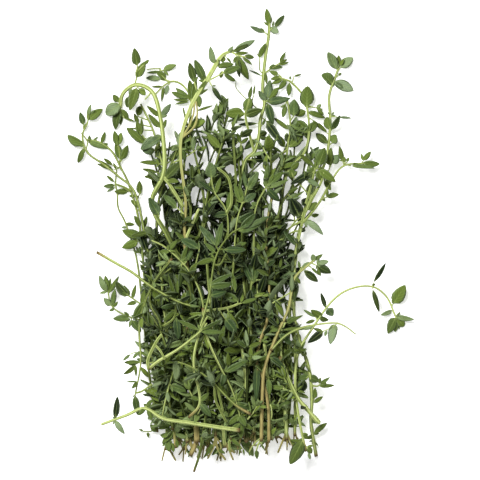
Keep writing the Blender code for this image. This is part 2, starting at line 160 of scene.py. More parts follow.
FRONT_SPRIGS = (
    ("right_edge", "leafy_green", 1.2, 0.2,
     ((25, -71), (23.3, -60), (23.5, -52), (22.5, -42), (19, -31), (17.3, -19), (18.8, -2), (22, 11),
      (26, 18), (27.5, 23))),
    ("right_arch", "young_green", 1.0, 0.55,
     ((21.5, -69), (19.2, -58), (18, -47), (19, -37), (23.5, -29), (30, -20), (36, -16), (43, -15.2),
      (48, -18.5), (51, -25))),
    ("woody_crossing", "woody_stem", 1.15, 0.5,
     ((9.4, -66), (9.2, -55), (7.6, -46), (5.4, -40), (6.5, -33), (9, -25), (9.5, -12), (8.5, 3), (11, 16))),
    ("woody_bowed", "woody_stem", 1.2, 0.5,
     ((6.9, -65.5), (7.2, -53), (8, -42), (12, -31), (15.7, -22.5), (17.6, -13), (21, -9.2), (25, -6))),
    ("upper_left_tall", "young_green", 1.3, 0.5,
     ((-16.2, -70.5), (-14.2, -64), (-14, -42), (-16, -20), (-18, 0), (-17.7, 13), (-19.2, 25), (-19, 34),
      (-15.7, 44), (-10.3, 53), (-6, 60), (-2, 62))),
    ("left_arch", "young_green", 1.35, 0.62,
     ((-14, -66), (-15, -45), (-15.5, -20), (-18.5, -8), (-21.3, -3.4), (-24.6, 3), (-27.8, 8.6),
      (-28.5, 14), (-25, 21.5), (-24.8, 30), (-26.2, 41), (-28.6, 48.3), (-34, 50.8), (-38.3, 48),
      (-39.3, 43.5))),
    ("centre_left_lean", "leafy_green", 1.0, 0.15,
     ((-8, -64), (-7, -40), (-6, -20), (-4, 0), (-4.5, 9.5), (-8.5, 16), (-9.6, 23))),
    ("centre_long", "leafy_green", 1.0, 0.15,
     ((-3, -65), (-4, -42), (-3, -22), (-2, -6), (-1, 6), (1.5, 14), (3, 20))),
    ("centre_right_long", "leafy_green", 1.0, 0.15,
     ((2, -66), (2.5, -40), (3.3, -19), (4.4, -8), (4.6, 3), (5.3, 11), (9.5, 19))),
    ("left_swing", "leafy_green", 1.0, 0.2,
     ((-15, -75.5), (-12.9, -68), (-10.5, -50), (-11.3, -30), (-12.7, -18), (-17.2, -9.2), (-24, -2.6),
      (-28.6, -0.2))),
    ("left_bare_curve", "young_green", 0.95, 0.75,
     ((-21, -68), (-23, -50), (-25.5, -29), (-28.8, -22), (-29.2, -17.5), (-26.8, -12.7), (-22.6, -9.2))),
    ("left_low_reach", "leafy_green", 0.9, 0.5,
     ((-22, -62), (-24.5, -42), (-29, -28.5), (-38, -24.3), (-42, -21.3), (-43.3, -16))),
    ("left_reach", "leafy_green", 0.9, 0.5,
     ((-17, -60), (-22, -44), (-25, -32), (-30, -23), (-37, -17.5))),
    ("left_drooping", "leafy_green", 0.9, 0.15,
     ((-22, -6), (-28, -14), (-32.5, -26), (-32.3, -40), (-34.3, -51))),
    ("cross_cutting", "young_green", 1.0, 0.55,
     ((-46.5, -4), (-40, -7.7), (-35, -10.5), (-28.5, -15.3), (-20, -20), (-13, -22))),
    ("right_thin", "young_green", 0.8, 0.3,
     ((10, -36), (15, -31), (21, -28.3), (30, -27), (34, -28), (37.7, -30.7))),
    ("low_right_shoot", "leafy_green", 0.8, 0.3,
     ((13, -38), (18, -50), (22.6, -56), (25.8, -59.6))),
    ("low_left_shoot", "young_green", 0.8, 0.3,
     ((-17, -28), (-20.5, -39), (-23.5, -49), (-25.5, -58))),
    ("front_down", "young_green", 0.95, 0.3,
     ((-12, -22), (-10.8, -31), (-6.5, -41), (-2.5, -49), (0.5, -59))),
    ("front_long", "young_green", 1.05, 0.25,
     ((-16.7, -57.8), (-13, -52.5), (-15, -40), (-13.3, -30), (-10, -18), (-8, -6), (-3.5, 1.5), (1.5, 4.5))),
    ("low_cutting", "woody_stem", 0.9, 0.35,
     ((3.5, -56.5), (-2, -53), (-10, -45), (-16, -41), (-20, -39.5))),
    ("front_star", "young_green", 1.0, 0.45,
     ((-29.6, -41.8), (-26.5, -39.2), (-20, -35.3), (-13, -29.7), (-10.8, -27))),
    ("bottom_arc", "young_green", 1.35, 0.75,
     ((0, -61.8), (-8, -60.7), (-17, -59.3), (-25, -58), (-31, -54.7), (-37, -57), (-45, -60))),
)


def lengths(path):
    """How far along a path each of its points is."""
    return np.append(0, np.cumsum(np.linalg.norm(np.diff(path, axis=0), axis=1)))


def smooth_route(points, step=0.5):
    """Points `step` apart on the Catmull-Rom curve through the given ones.

    Between two points it is the cubic whose slope at each is half the way from the point before it to
    the point after it.
    """
    p = np.asarray(points, float)
    p = np.vstack([2 * p[0] - p[1], p, 2 * p[-1] - p[-2]])
    t = np.linspace(0, 1, CURVE_STEPS, endpoint=False)[:, None]
    runs = []
    for a, b, c, d in zip(p[:-3], p[1:-2], p[2:-1], p[3:]):
        runs.append(b + 0.5 * t * (c - a + t * (2 * a - 5 * b + 4 * c - d + t * (3 * (b - c) + d - a))))
    curve = np.vstack([*runs, p[-2]])
    along = lengths(curve)
    at = np.linspace(0, along[-1], int(along[-1] / step) + 2)
    return np.column_stack([np.interp(at, along, curve[:, k]) for k in range(p.shape[1])])


def stations(points):
    """The route's ring places, closer together where it bends, and how far along it each one is.

    A run costs its length over CHORD plus its turn over TURN, and rings stand at equal steps of cost.
    """
    fine = smooth_route(points)
    runs = np.diff(fine, axis=0)
    heading = np.unwrap(np.arctan2(runs[:, 1], runs[:, 0]))
    cost = np.linalg.norm(runs, axis=1) / CHORD
    cost[1:] += np.abs(np.diff(heading)) / TURN
    total = np.append(0, np.cumsum(cost))
    at = np.linspace(0, total[-1], max(3, math.ceil(total[-1]) + 1))
    return np.column_stack([np.interp(at, total, values) for values in (*fine.T, lengths(fine))])


class Pile:
    """What has been laid so far, as the height of its top over a grid on the table."""

    def __init__(self):
        (x0, x1), (y0, y1) = FIELD
        self.x = np.arange(x0, x1 + GRID, GRID)
        self.y = np.arange(y0, y1 + GRID, GRID)
        self.top = np.zeros((len(self.x), len(self.y)))

    def window(self, point, reach):
        """The square of cells that reaches `reach` to each side of a point."""
        i0, i1 = np.searchsorted(self.x, (point[0] - reach, point[0] + reach))
        j0, j1 = np.searchsorted(self.y, (point[1] - reach, point[1] + reach))
        return slice(i0, i1), slice(j0, j1)

    def raise_to(self, point, z, half, reach):
        """Adds a stem's point at height z: its own top, and out to `reach` what its leaves hold up."""
        window = self.window(point, reach)
        away = np.hypot(self.x[window[0]][:, None] - point[0], self.y[window[1]] - point[1])
        held = np.where(away < half + BODY_MARGIN, z + half, z + PROP - PROP_FALL * away)
        self.top[window] = np.where(away < reach, np.maximum(self.top[window], held), self.top[window])

    def lay(self, ground, halves, leafy_from):
        """Heights of a stem's rings so that each straight run clears what is beneath it.

        A ring stands as high as the highest thing under the runs on both its sides, and a stiff stem
        comes down from there along a parabola. The stem, and its leaves from `leafy_from` on, are then
        added to the pile.
        """
        need = halves + 0.0
        runs = []
        for k in range(len(ground) - 1):
            span = np.linalg.norm(ground[k + 1] - ground[k])
            share = np.linspace(0, 1, int(span / SAMPLE) + 2)[:, None]
            samples = ground[k] + share * (ground[k + 1] - ground[k])
            runs.append((samples, share[:, 0]))
            tops = [self.top[self.window(sample, halves[k] + GRID)] for sample in samples]
            highest = max(top.max(initial=0.0) for top in tops)
            if highest > 0:
                lift = highest + LAY_GAP
                need[k] = max(need[k], lift + halves[k])
                need[k + 1] = max(need[k + 1], lift + halves[k + 1])
        along = lengths(ground)
        apart = np.abs(along[:, None] - along)
        height = np.maximum(need, (need - DROP * apart**2).max(axis=1))
        for k, (samples, share) in enumerate(runs):
            level = height[k] + share * (height[k + 1] - height[k])
            leafy = k + 1 >= leafy_from * len(runs)
            reach = PROP_REACH if leafy else halves[k] + BODY_MARGIN
            for sample, z in zip(samples, level):
                self.raise_to(sample, z, halves[k], reach)
        return height


def bed_route(share, seed):
    """A bed sprig's route: from its foot through the bunch's waist to its tip, with a small sway."""
    sway = np.random.default_rng(seed).uniform(-1, 1, 8)
    foot, waist = (lo + share * (hi - lo) for lo, hi in (BED_FOOT, BED_WAIST))
    tip = BED_TIP[0] + np.clip(share + BED_DRIFT * sway[7], 0, 1) * (BED_TIP[1] - BED_TIP[0])
    reach = BED_REACH + BED_SPREAD * sway[0] - BED_ROUNDING * abs(2 * share - 1)
    bends = [(a * foot + b * waist + c * tip + wide * by, y)
             for (y, a, b, c, wide), by in zip(BED_BENDS, sway[3:6])]
    cut_end = (foot + BED_ENDS[0] * sway[1], BED_CUT + BED_ENDS[1] * sway[2])
    return (cut_end, *bends, (tip + BED_TIP_SWAY * sway[6], reach))


def bed(name, count, seed):
    """The sprigs of one bed, taken across the bunch in steps so that neighbours aren't laid in turn."""
    made = []
    for k in range(count):
        share = ((k * BED_STRIDE) % count + 0.5) / count
        made.append((f"{name}_{k + 1:02d}", "leafy_green", STEM_BASE, BED_LEAVES, bed_route(share, seed + k)))
    return made


plan = [*bed("under_sprig", UNDER_BED, UNDER_SEED), *LOW_SPRIGS,
        *bed("over_sprig", OVER_BED, OVER_SEED), *FRONT_SPRIGS]
pile = Pile()
laid = {}
for name, tint, width, leafy_from, points in plan:
    rings = stations(points)
    halves = 0.5 * np.linspace(width, min(width, STEM_TIP), len(rings))
    height = pile.lay(rings[:, :2] - MIDDLE, halves, leafy_from)
    rise = smooth_route(np.column_stack([rings[:, 2], height]))
    ground = smooth_route(points, 1.2) - MIDDLE
    laid[name] = (np.column_stack([ground, np.interp(lengths(ground), *rise.T)]), width, tint)


# The finishes. Leaves are a dull dark green above, blotched, veined and dotted with oil, with a paler
# midrib and rim, and pale grey-green below. Stems are streaked light green, tan where they are woody.
SKIN_IOR = 1.2  # low, because fine hairs dull the skin's shine


class Wire:
    """A value on its way through a material. + - * / and ** on it add Math nodes."""

    def __init__(self, finish, socket):
        self.finish = finish
        self.socket = socket

    def math(self, operation, first, second=0.0):
        """A Math node on one or two values."""
        return self.finish.add("ShaderNodeMath", {"operation": operation}, {0: first, 1: second})

    def __add__(self, other):
        return self.math("ADD", self, other)

    def __sub__(self, other):
        return self.math("SUBTRACT", self, other)

    def __rsub__(self, other):
        return self.math("SUBTRACT", other, self)

    def __mul__(self, other):
        return self.math("MULTIPLY", self, other)

    def __truediv__(self, other):
        return self.math("DIVIDE", self, other)

    def __pow__(self, other):
        return self.math("POWER", self, other)

    def __abs__(self):
        return self.math("ABSOLUTE", self)

    def kept(self):
        """The value kept between 0 and 1."""
        return self.finish.add("ShaderNodeClamp", {}, {"Value": self})

    __radd__ = __add__
    __rmul__ = __mul__


class Finish:
    """A material, whose nodes all come from `add`."""

    def __init__(self, name):
        self.material = bpy.data.materials.new(name)
        self.material.use_nodes = True
        self.tree = self.material.node_tree
        self.shader = self.tree.nodes["Principled BSDF"]
        self.shader.inputs["IOR"].default_value = SKIN_IOR

    def add(self, kind, settings, inputs, output=0):
        """A node of any kind: its settings first, then the values or links of its sockets."""
        node = self.tree.nodes.new(kind)
        for key, value in settings.items():
            setattr(node, key, value)
        for key, value in inputs.items():
            self.feed(node.inputs[key], value)
        return Wire(self, node.outputs[output])

    def feed(self, socket, value):
        """Links a wire to a socket, or puts a value on it."""
        if isinstance(value, Wire):
            self.tree.links.new(value.socket, socket)
        else:
            socket.default_value = value

    def split(self, wire):
        """The three parts of a colour or vector."""
        node = self.add("ShaderNodeSeparateXYZ", {}, {0: wire}).socket.node
        return [Wire(self, socket) for socket in node.outputs]

    def mix(self, low, high, share):
        """One colour going over to another as share goes from 0 to 1."""
        return self.add("ShaderNodeMix", {"data_type": "RGBA"}, {0: share, 6: low, 7: high}, 2)

    def noise(self, scale, detail, vector=None):
        """Soft noise, so many waves to the metre."""
        where = vector or self.add("ShaderNodeTexCoord", {}, {}, 3)
        return self.add("ShaderNodeTexNoise", {}, {"Vector": where, "Scale": scale, "Detail": detail})

    def bump(self, height, depth, strength):
        """Tilts the surface as if it rose by height times depth."""
        normal = self.add("ShaderNodeBump", {}, {"Height": height, "Distance": depth, "Strength": strength})
        self.feed(self.shader.inputs["Normal"], normal)


def srgb(red, green, blue):
    """A colour given as it looks on a screen, 0 to 255, as the linear one that a shader takes."""
    shown = np.array((red, green, blue)) / 255
    return (*np.where(shown < 0.04045, shown / 12.92, ((shown + 0.055) / 1.055) ** 2.4), 1.0)


LEAF_SHADE = srgb(14, 25, 8)
LEAF_MIDDLE = srgb(55, 75, 39)
LEAF_PALE = srgb(132, 150, 112)
LEAF_YOUNG = srgb(122, 142, 56)
LEAF_UNDER = srgb(122, 136, 94)
LEAF_RIB = srgb(138, 156, 84)
CLOUDS = 420.0  # per metre, the soft blotches of a leaf
PITS = 2600.0  # per metre, the dots of oil in its skin
RIB_HALF = 0.07  # of the leaf's width
RIM_FROM, RIM_WIDE = 0.4, 0.1  # from the midrib, of the leaf's width
VEINS, VEIN_SLANT = 40, 0.7

leaf_finish = Finish("thyme leaf")
across, along, _ = leaf_finish.split(leaf_finish.add("ShaderNodeUVMap", {"uv_map": "blade"}, {}))
grown_leaf = leaf_finish.add("ShaderNodeAttribute", {"attribute_name": "grown"}, {}, 1)
tone, youth, under = leaf_finish.split(grown_leaf)
cloud = leaf_finish.noise(CLOUDS, 3.0)
shade = (tone + (cloud - 0.5) * 0.5).kept()
upper = leaf_finish.mix(LEAF_SHADE, LEAF_MIDDLE, (shade * 2).kept())
upper = leaf_finish.mix(upper, LEAF_PALE, (shade * 2 - 1).kept())
upper = leaf_finish.mix(upper, LEAF_YOUNG, youth * (1.1 - shade * 0.6))
off_rib = abs(across - 0.5)
rib = (1 - off_rib / RIB_HALF).kept() * (1 - along * 0.8)
vein = leaf_finish.add("ShaderNodeMath", {"operation": "SINE"}, {0: (along - off_rib * VEIN_SLANT) * VEINS})
rim = ((off_rib - RIM_FROM) / RIM_WIDE).kept()
upper = leaf_finish.mix(upper, LEAF_RIB, rib * 0.6 + (1 - along / 0.25).kept() * 0.5)
upper = leaf_finish.mix(upper, LEAF_PALE, rim * 0.55)
upper = leaf_finish.mix(upper, LEAF_SHADE, (vein * 0.5 + 0.5) ** 3 * 0.22)
lower = leaf_finish.mix(LEAF_UNDER, LEAF_PALE, (cloud * 1.4 - 0.2).kept())
lower = leaf_finish.mix(lower, LEAF_YOUNG, youth * 0.35 + rib * 0.3)
leaf_finish.feed(leaf_finish.shader.inputs["Base Color"], leaf_finish.mix(upper, lower, under))
leaf_finish.feed(leaf_finish.shader.inputs["Roughness"], 0.5 + cloud * 0.25)
leaf_finish.bump(leaf_finish.noise(PITS, 1.0) + vein * 0.35 - rib, 0.00012, 0.55)

STEM_FRESH = srgb(186, 198, 124)
STEM_GREEN = srgb(110, 124, 60)
STEM_DULL = srgb(44, 54, 22)
STEM_TAN = srgb(168, 156, 98)
STEM_CUT = srgb(84, 66, 40)
STREAKS = 1900.0  # per metre across the stem
STREAK_STRETCH = (1.0, 0.16, 1.0)  # they run along the bunch

stem_finish = Finish("thyme stem")
grown_stem = stem_finish.add("ShaderNodeAttribute", {"attribute_name": "grown"}, {}, 1)
tone, fresh, cut = stem_finish.split(grown_stem)
everywhere = stem_finish.add("ShaderNodeTexCoord", {}, {}, 3)
lengthwise = stem_finish.add("ShaderNodeMapping", {}, {"Vector": everywhere, "Scale": STREAK_STRETCH})
streak = stem_finish.noise(STREAKS, 3.0, lengthwise)
# Paler along the stem's corners: partly its ridges, partly painted highlights.
ridge_and_highlight, _, _ = stem_finish.split(stem_finish.add("ShaderNodeUVMap", {"uv_map": "blade"}, {}))
# How light a stem is: its streaks, its paler corners, and a value for each sprig that is partly its own tone
# and partly painted shade, low for stems deep in the bunch and high for those lying on top.
tone_and_shade = streak * 0.5 + ridge_and_highlight * 0.5 + tone - 0.55
green = stem_finish.mix(STEM_DULL, STEM_GREEN, (tone_and_shade * 2).kept())
green = stem_finish.mix(green, STEM_FRESH, (tone_and_shade * 2 - 1).kept())
bark = stem_finish.mix(STEM_CUT, STEM_TAN, (1.3 - streak * 1.5 + ridge_and_highlight * 0.4).kept())
colour = stem_finish.mix(bark, green, (fresh * 1.3 + streak * 0.3 - 0.25).kept())
stem_finish.feed(stem_finish.shader.inputs["Base Color"], stem_finish.mix(colour, STEM_CUT, cut))
stem_finish.feed(stem_finish.shader.inputs["Roughness"], 0.62 - fresh * 0.15)
stem_finish.bump(streak, 0.0002, 0.35)


# The growing of one sprig. Its stem is a rounded square rod, thicker at each joint. Leaves stand in
# opposite pairs, each pair a quarter turn from the one before, with a tuft or a side shoot in their
# axils. A leaf has a short stalk, a groove over its midrib and a rim rolled under.
def unit(vectors):
    """Vectors of the same directions, each divided by its length."""
    return vectors / np.maximum(np.linalg.norm(vectors, axis=-1, keepdims=True), 1e-9)


class Blade:
    """The rings of a leaf's skin: their places along it, and the points of one ring.

    A point has its place across, its lift over a flat leaf, how deep it is in the leaf's thickness, and
    how much of the under side's colour it shows.
    """

    STALK = 0.09  # share of the length
    STALK_WIDE = 0.16  # share of the width
    BLADE_WIDE = 0.97
    FULL = 0.68  # the smaller, the fuller the outline
    THICK = 0.24  # mm
    STRAIGHT = 1e-3  # curl in radians, under which a leaf counts as straight

    def __init__(self, places, across, lift, depth, under):
        self.places = np.array(places)
        self.across = np.array(across)
        self.lift = np.array(lift)
        self.depth = np.array(depth)
        self.under = np.array(under)

    def grow(self, root, out, face, length, width, fold, curl, belly):
        """Rings and ends of many leaves at once.

        A leaf's middle line leaves its root along `out` and bends away from `face` through `curl` radians,
        an arc of a circle. Its half width is a thin stalk, then a sine of the share of the length to the
        power `belly`, which puts its widest place before its middle, and that sine to the power FULL. Each
        ring rises to both sides by the tangent of `fold`, dips at the midrib and rolls under at the rim.
        """
        share = np.clip((self.places - self.STALK) / (1 - self.STALK), 0, 1)
        swell = np.sin(np.pi * share ** belly[:, None]) ** self.FULL
        half = 0.5 * width[:, None] * (self.STALK_WIDE * (1 - share) + self.BLADE_WIDE * swell)
        curl = np.where(np.abs(curl) < self.STRAIGHT, self.STRAIGHT, curl)[:, None]
        bend = curl * self.places
        reach = (length[:, None] * np.sin(bend) / curl)[..., None]
        drop = (length[:, None] * (1 - np.cos(bend)) / curl)[..., None]
        side = np.cross(out, face)[:, None, None]
        out, face = out[:, None], face[:, None]
        middle = root[:, None] + reach * out - drop * face
        normal = np.cos(bend)[..., None] * face + np.sin(bend)[..., None] * out
        rise = half[..., None] * (self.lift + np.abs(self.across) * np.tan(fold)[:, None, None])
        rise = rise - self.THICK * self.depth
        rings = middle[:, :, None] + (half[..., None] * self.across)[..., None] * side
        rings = rings + rise[..., None] * normal[:, :, None]
        tip = root + length[:, None] * (np.sin(curl) * out[:, 0] - (1 - np.cos(curl)) * face[:, 0]) / curl
        return rings, root, tip


LARGE_BLADE = Blade((0.05, 0.18, 0.36, 0.58, 0.78, 0.93), (-1.0, -0.55, 0.0, 0.55, 1.0, 0.55, 0.0, -0.55),
                    (-0.2, 0.06, -0.1, 0.06, -0.2, 0.06, -0.1, 0.06), (0.5, 0, 0, 0, 0.5, 1, 1.7, 1),
                    (0.5, 0, 0, 0, 0.5, 1, 1, 1))
SMALL_BLADE = Blade((0.12, 0.36, 0.66, 0.9), (-1.0, 0.0, 1.0, 0.6, 0.0, -0.6),
                    (0.1, -0.12, 0.1, 0.0, -0.12, 0.0), (0.3, 0, 0.3, 1, 1.3, 1), (0.4, 0, 0.4, 1, 1, 1))


def shells(rings, start, end):
    """Points, four-sided faces and end triangles of skins closed by a point at both ends."""
    count, rows, around, _ = rings.shape
    points = np.concatenate([rings.reshape(count, rows * around, 3), start[:, None], end[:, None]], axis=1)
    here = np.arange(around)
    after = (here + 1) % around
    row = np.arange(rows - 1)[:, None] * around
    quads = np.stack([row + here, row + after, row + around + after, row + around + here], -1).reshape(-1, 4)
    first = np.stack([np.full(around, rows * around), after, here], -1)
    last = (rows - 1) * around
    final = np.stack([np.full(around, rows * around + 1), last + here, last + after], -1)
    step = points.shape[1] * np.arange(count)[:, None, None]
    tris = np.concatenate([first, final])
    return points.reshape(-1, 3), (quads + step).reshape(-1, 4), (tris + step).reshape(-1, 3)


class Room:
    """Which small cells of the space over the table already hold a leaf or a stem."""

    CELL = 0.65
    LOW = np.array((-72.0, -92.0, -2.0))
    HIGH = np.array((72.0, 92.0, 46.0))
    FLOOR = 0.2  # mm, no leaf is wanted lower
    ROOF_COST = 10
    ROOF_GAP = 0.3  # mm from what brings the roof down to the roof

    def __init__(self):
        self.taken = np.zeros(np.ceil((self.HIGH - self.LOW) / self.CELL).astype(int) + 1, bool)
        self.roof = np.full(self.taken.shape[:2], self.HIGH[2])

    def cells(self, points):
        """Each point's cell: its distance from the low corner in whole cells."""
        return tuple(((np.clip(points, self.LOW, self.HIGH) - self.LOW) / self.CELL).astype(int).T)

    def busy(self, points):
        """How many of each row of points are in taken cells or the table, and ten for each over the roof."""
        flat = points.reshape(-1, 3)
        cells = self.cells(flat)
        over = flat[:, 2] > self.roof[cells[:2]]
        hit = (self.taken[cells] | (flat[:, 2] < self.FLOOR)) + self.ROOF_COST * over
        return hit.reshape(points.shape[:-1]).sum(axis=-1)

    def fill(self, points):
        """Marks the cells of these points as taken."""
        self.taken[self.cells(points.reshape(-1, 3))] = True

    def lower(self, points):
        """Brings the roof down to these points: nothing that grows by itself stands over them."""
        flat = points.reshape(-1, 3)
        np.minimum.at(self.roof, self.cells(flat)[:2], flat[:, 2] + self.ROOF_GAP)


SAMPLE_ALONG = np.array((0.3, 0.47, 0.64, 0.81, 0.96))
SAMPLE_ACROSS = np.array((-0.7, 0.0, 0.7))
SAMPLE_WIDE = 0.42  # of a leaf's width, to allow for its narrower ends
WAYS = ((0.0, 0.0, 0.0), (0.5, -0.2, 0.2), (-0.5, 0.2, 0.1), (0.9, -0.3, 0.4), (-0.9, 0.3, -0.2),
        (0.2, -0.45, 0.0), (-0.2, 0.5, 0.3), (1.4, 0.1, 0.5), (-1.4, -0.1, 0.5))  # turn, lean and light
LOTS = 3  # leaves are tried in three lots, each of which sees where the last one's settled
LEAN_LIMITS = (0.15, 2.5)


def blade_samples(root, out, face, length, width):
    """A few points over each leaf, to see what it would touch."""
    side = np.cross(out, face)
    line = root[:, None] + (length[:, None] * SAMPLE_ALONG)[..., None] * out[:, None]
    half = (SAMPLE_WIDE * width[:, None] * SAMPLE_ACROSS)[:, None, :, None]
    return (line[:, :, None] + half * side[:, None, None]).reshape(len(root), -1, 3)


def turned(outward, axis, angle):
    """Vectors across an axis, turned about it: cosine times the vector plus sine times axis cross vector."""
    return np.cos(angle)[:, None] * outward + np.sin(angle)[:, None] * np.cross(axis, outward)


def settle(room, want, allow):
    """Turns the wanted leaves about their stem, a little more each time, until they are clear.

    A leaf leaves its axis at an angle `lean`, and its upper face looks along the stem, turned towards
    the light by the share `light`. The ones that stay in the way are left out.
    """
    out = np.zeros_like(want["root"])
    face = np.zeros_like(want["root"])
    done = np.zeros(len(out), bool)
    for turn, lean, light in WAYS:
        for lot in range(LOTS):
            at = np.nonzero(~done)[0]
            at = at[at % LOTS == lot]
            if not len(at):
                continue
            axis = want["axis"][at]
            outward = turned(want["outward"][at], axis, np.full(len(at), turn))
            angle = np.clip(want["lean"][at] + lean, *LEAN_LIMITS)[:, None]
            ahead = np.cos(angle) * axis + np.sin(angle) * outward
            sky = np.clip(want["light"][at] + light, 0, 1)[:, None]
            look = (1 - sky) * (np.sin(angle) * axis - np.cos(angle) * outward) + sky * np.array((0, 0, 1.0))
            look = unit(look - (look * ahead).sum(axis=1, keepdims=True) * ahead)
            samples = blade_samples(want["root"][at], ahead, look, want["length"][at], want["width"][at])
            free = room.busy(samples) <= allow
            room.fill(samples[free])
            out[at[free]] = ahead[free]
            face[at[free]] = look[free]
            done[at[free]] = True
    return out[done], face[done], done


UPRIGHT = (0.0, 0.05, 1.0)  # tipped a little, so that it is never quite along a stem


def path_axes(path, roll=0.0):
    """Along, above and beside a stem at each of its points, the last two turned by roll about the first."""
    ahead = unit(np.gradient(path, axis=0))
    beside = unit(np.cross(ahead, UPRIGHT))
    above = np.cross(beside, ahead)
    roll = np.broadcast_to(roll, len(path))
    turn, rise = np.cos(roll)[:, None], np.sin(roll)[:, None]
    return ahead, turn * above + rise * beside, turn * beside - rise * above


def sampled(at, along, values):
    """Rows of values that stand at `along`, read in a straight line between rows at the places `at`."""
    return np.column_stack([np.interp(at, along, column) for column in values.T])


STEP_SPREAD = (0.75, 1.25)


def spots(start, stop, first, last, rng):
    """Places along a stem, a step apart that goes from `first` to `last` over its length."""
    at = start
    found = []
    while at < stop:
        found.append(at)
        at += (first + (last - first) * at / max(stop, 1e-6)) * rng.uniform(*STEP_SPREAD)
    return np.array(found)


SPRIG_SEED = 900
STEM_SIDES, TWIG_SIDES = 8, 6
CUT_BROWN = 0.7  # mm that the brown of a cut end goes up the stem, fading
CUT_ROUND = 0.1
ANY_TURN = 3  # radians, range of the first pair's turn about its stem
TURN_SPREAD = 0.35
LEAN_SPREAD = 0.45
LIGHT_SPREAD = 0.4
LONG_SPREAD = (0.7, 1.25)
LEAF_WIDE = (0.25, 0.5)  # of its length
LEAF_OUT = 0.2  # mm from the stem's middle to a leaf's root
TONE_SPREAD = 0.48
YOUTH_SPREAD = 0.15
TINY_LEAF, TINY_YOUTH = 3, 0.25  # mm, and how much younger a leaf under it looks
SMALL_LEAF = 3.4  # mm, under which a leaf has the small blade
FOLD = (-0.1, 0.8)
CURL = (-0.4, 0.8)
BELLY = (0.62, 0.9)
CLEAR = 0.06  # mm, leaves listed one by one or grown by themselves stand at least so high
LOWEST = 0.02
SHOOT_STEPS = 7
SHOOT_FROM = (0.7, 0.8)  # shares of its stem's direction and of the way outward in its first direction
SHOOT_TO = 0.3  # share of the way outward in its last one
SHOOT_LIFT, SHOOT_SWAY, SHOOT_RISE = np.array((0, 0, 0.15)), 0.25, (-0.1, 0.5)
SHOOT_ROOT = 0.3  # mm, how far inside the axil it starts
SHOOT_HALF = (0.28, 0.15)  # mm, half a shoot's width at its foot and tip
SHOOT_LEAVES = (2.8, 1.6)  # mm between its joints at its foot and tip
UPWARD = np.array([(0, 0, 0.5 * step) for step in range(36)])  # mm, kept free over what is listed one by one
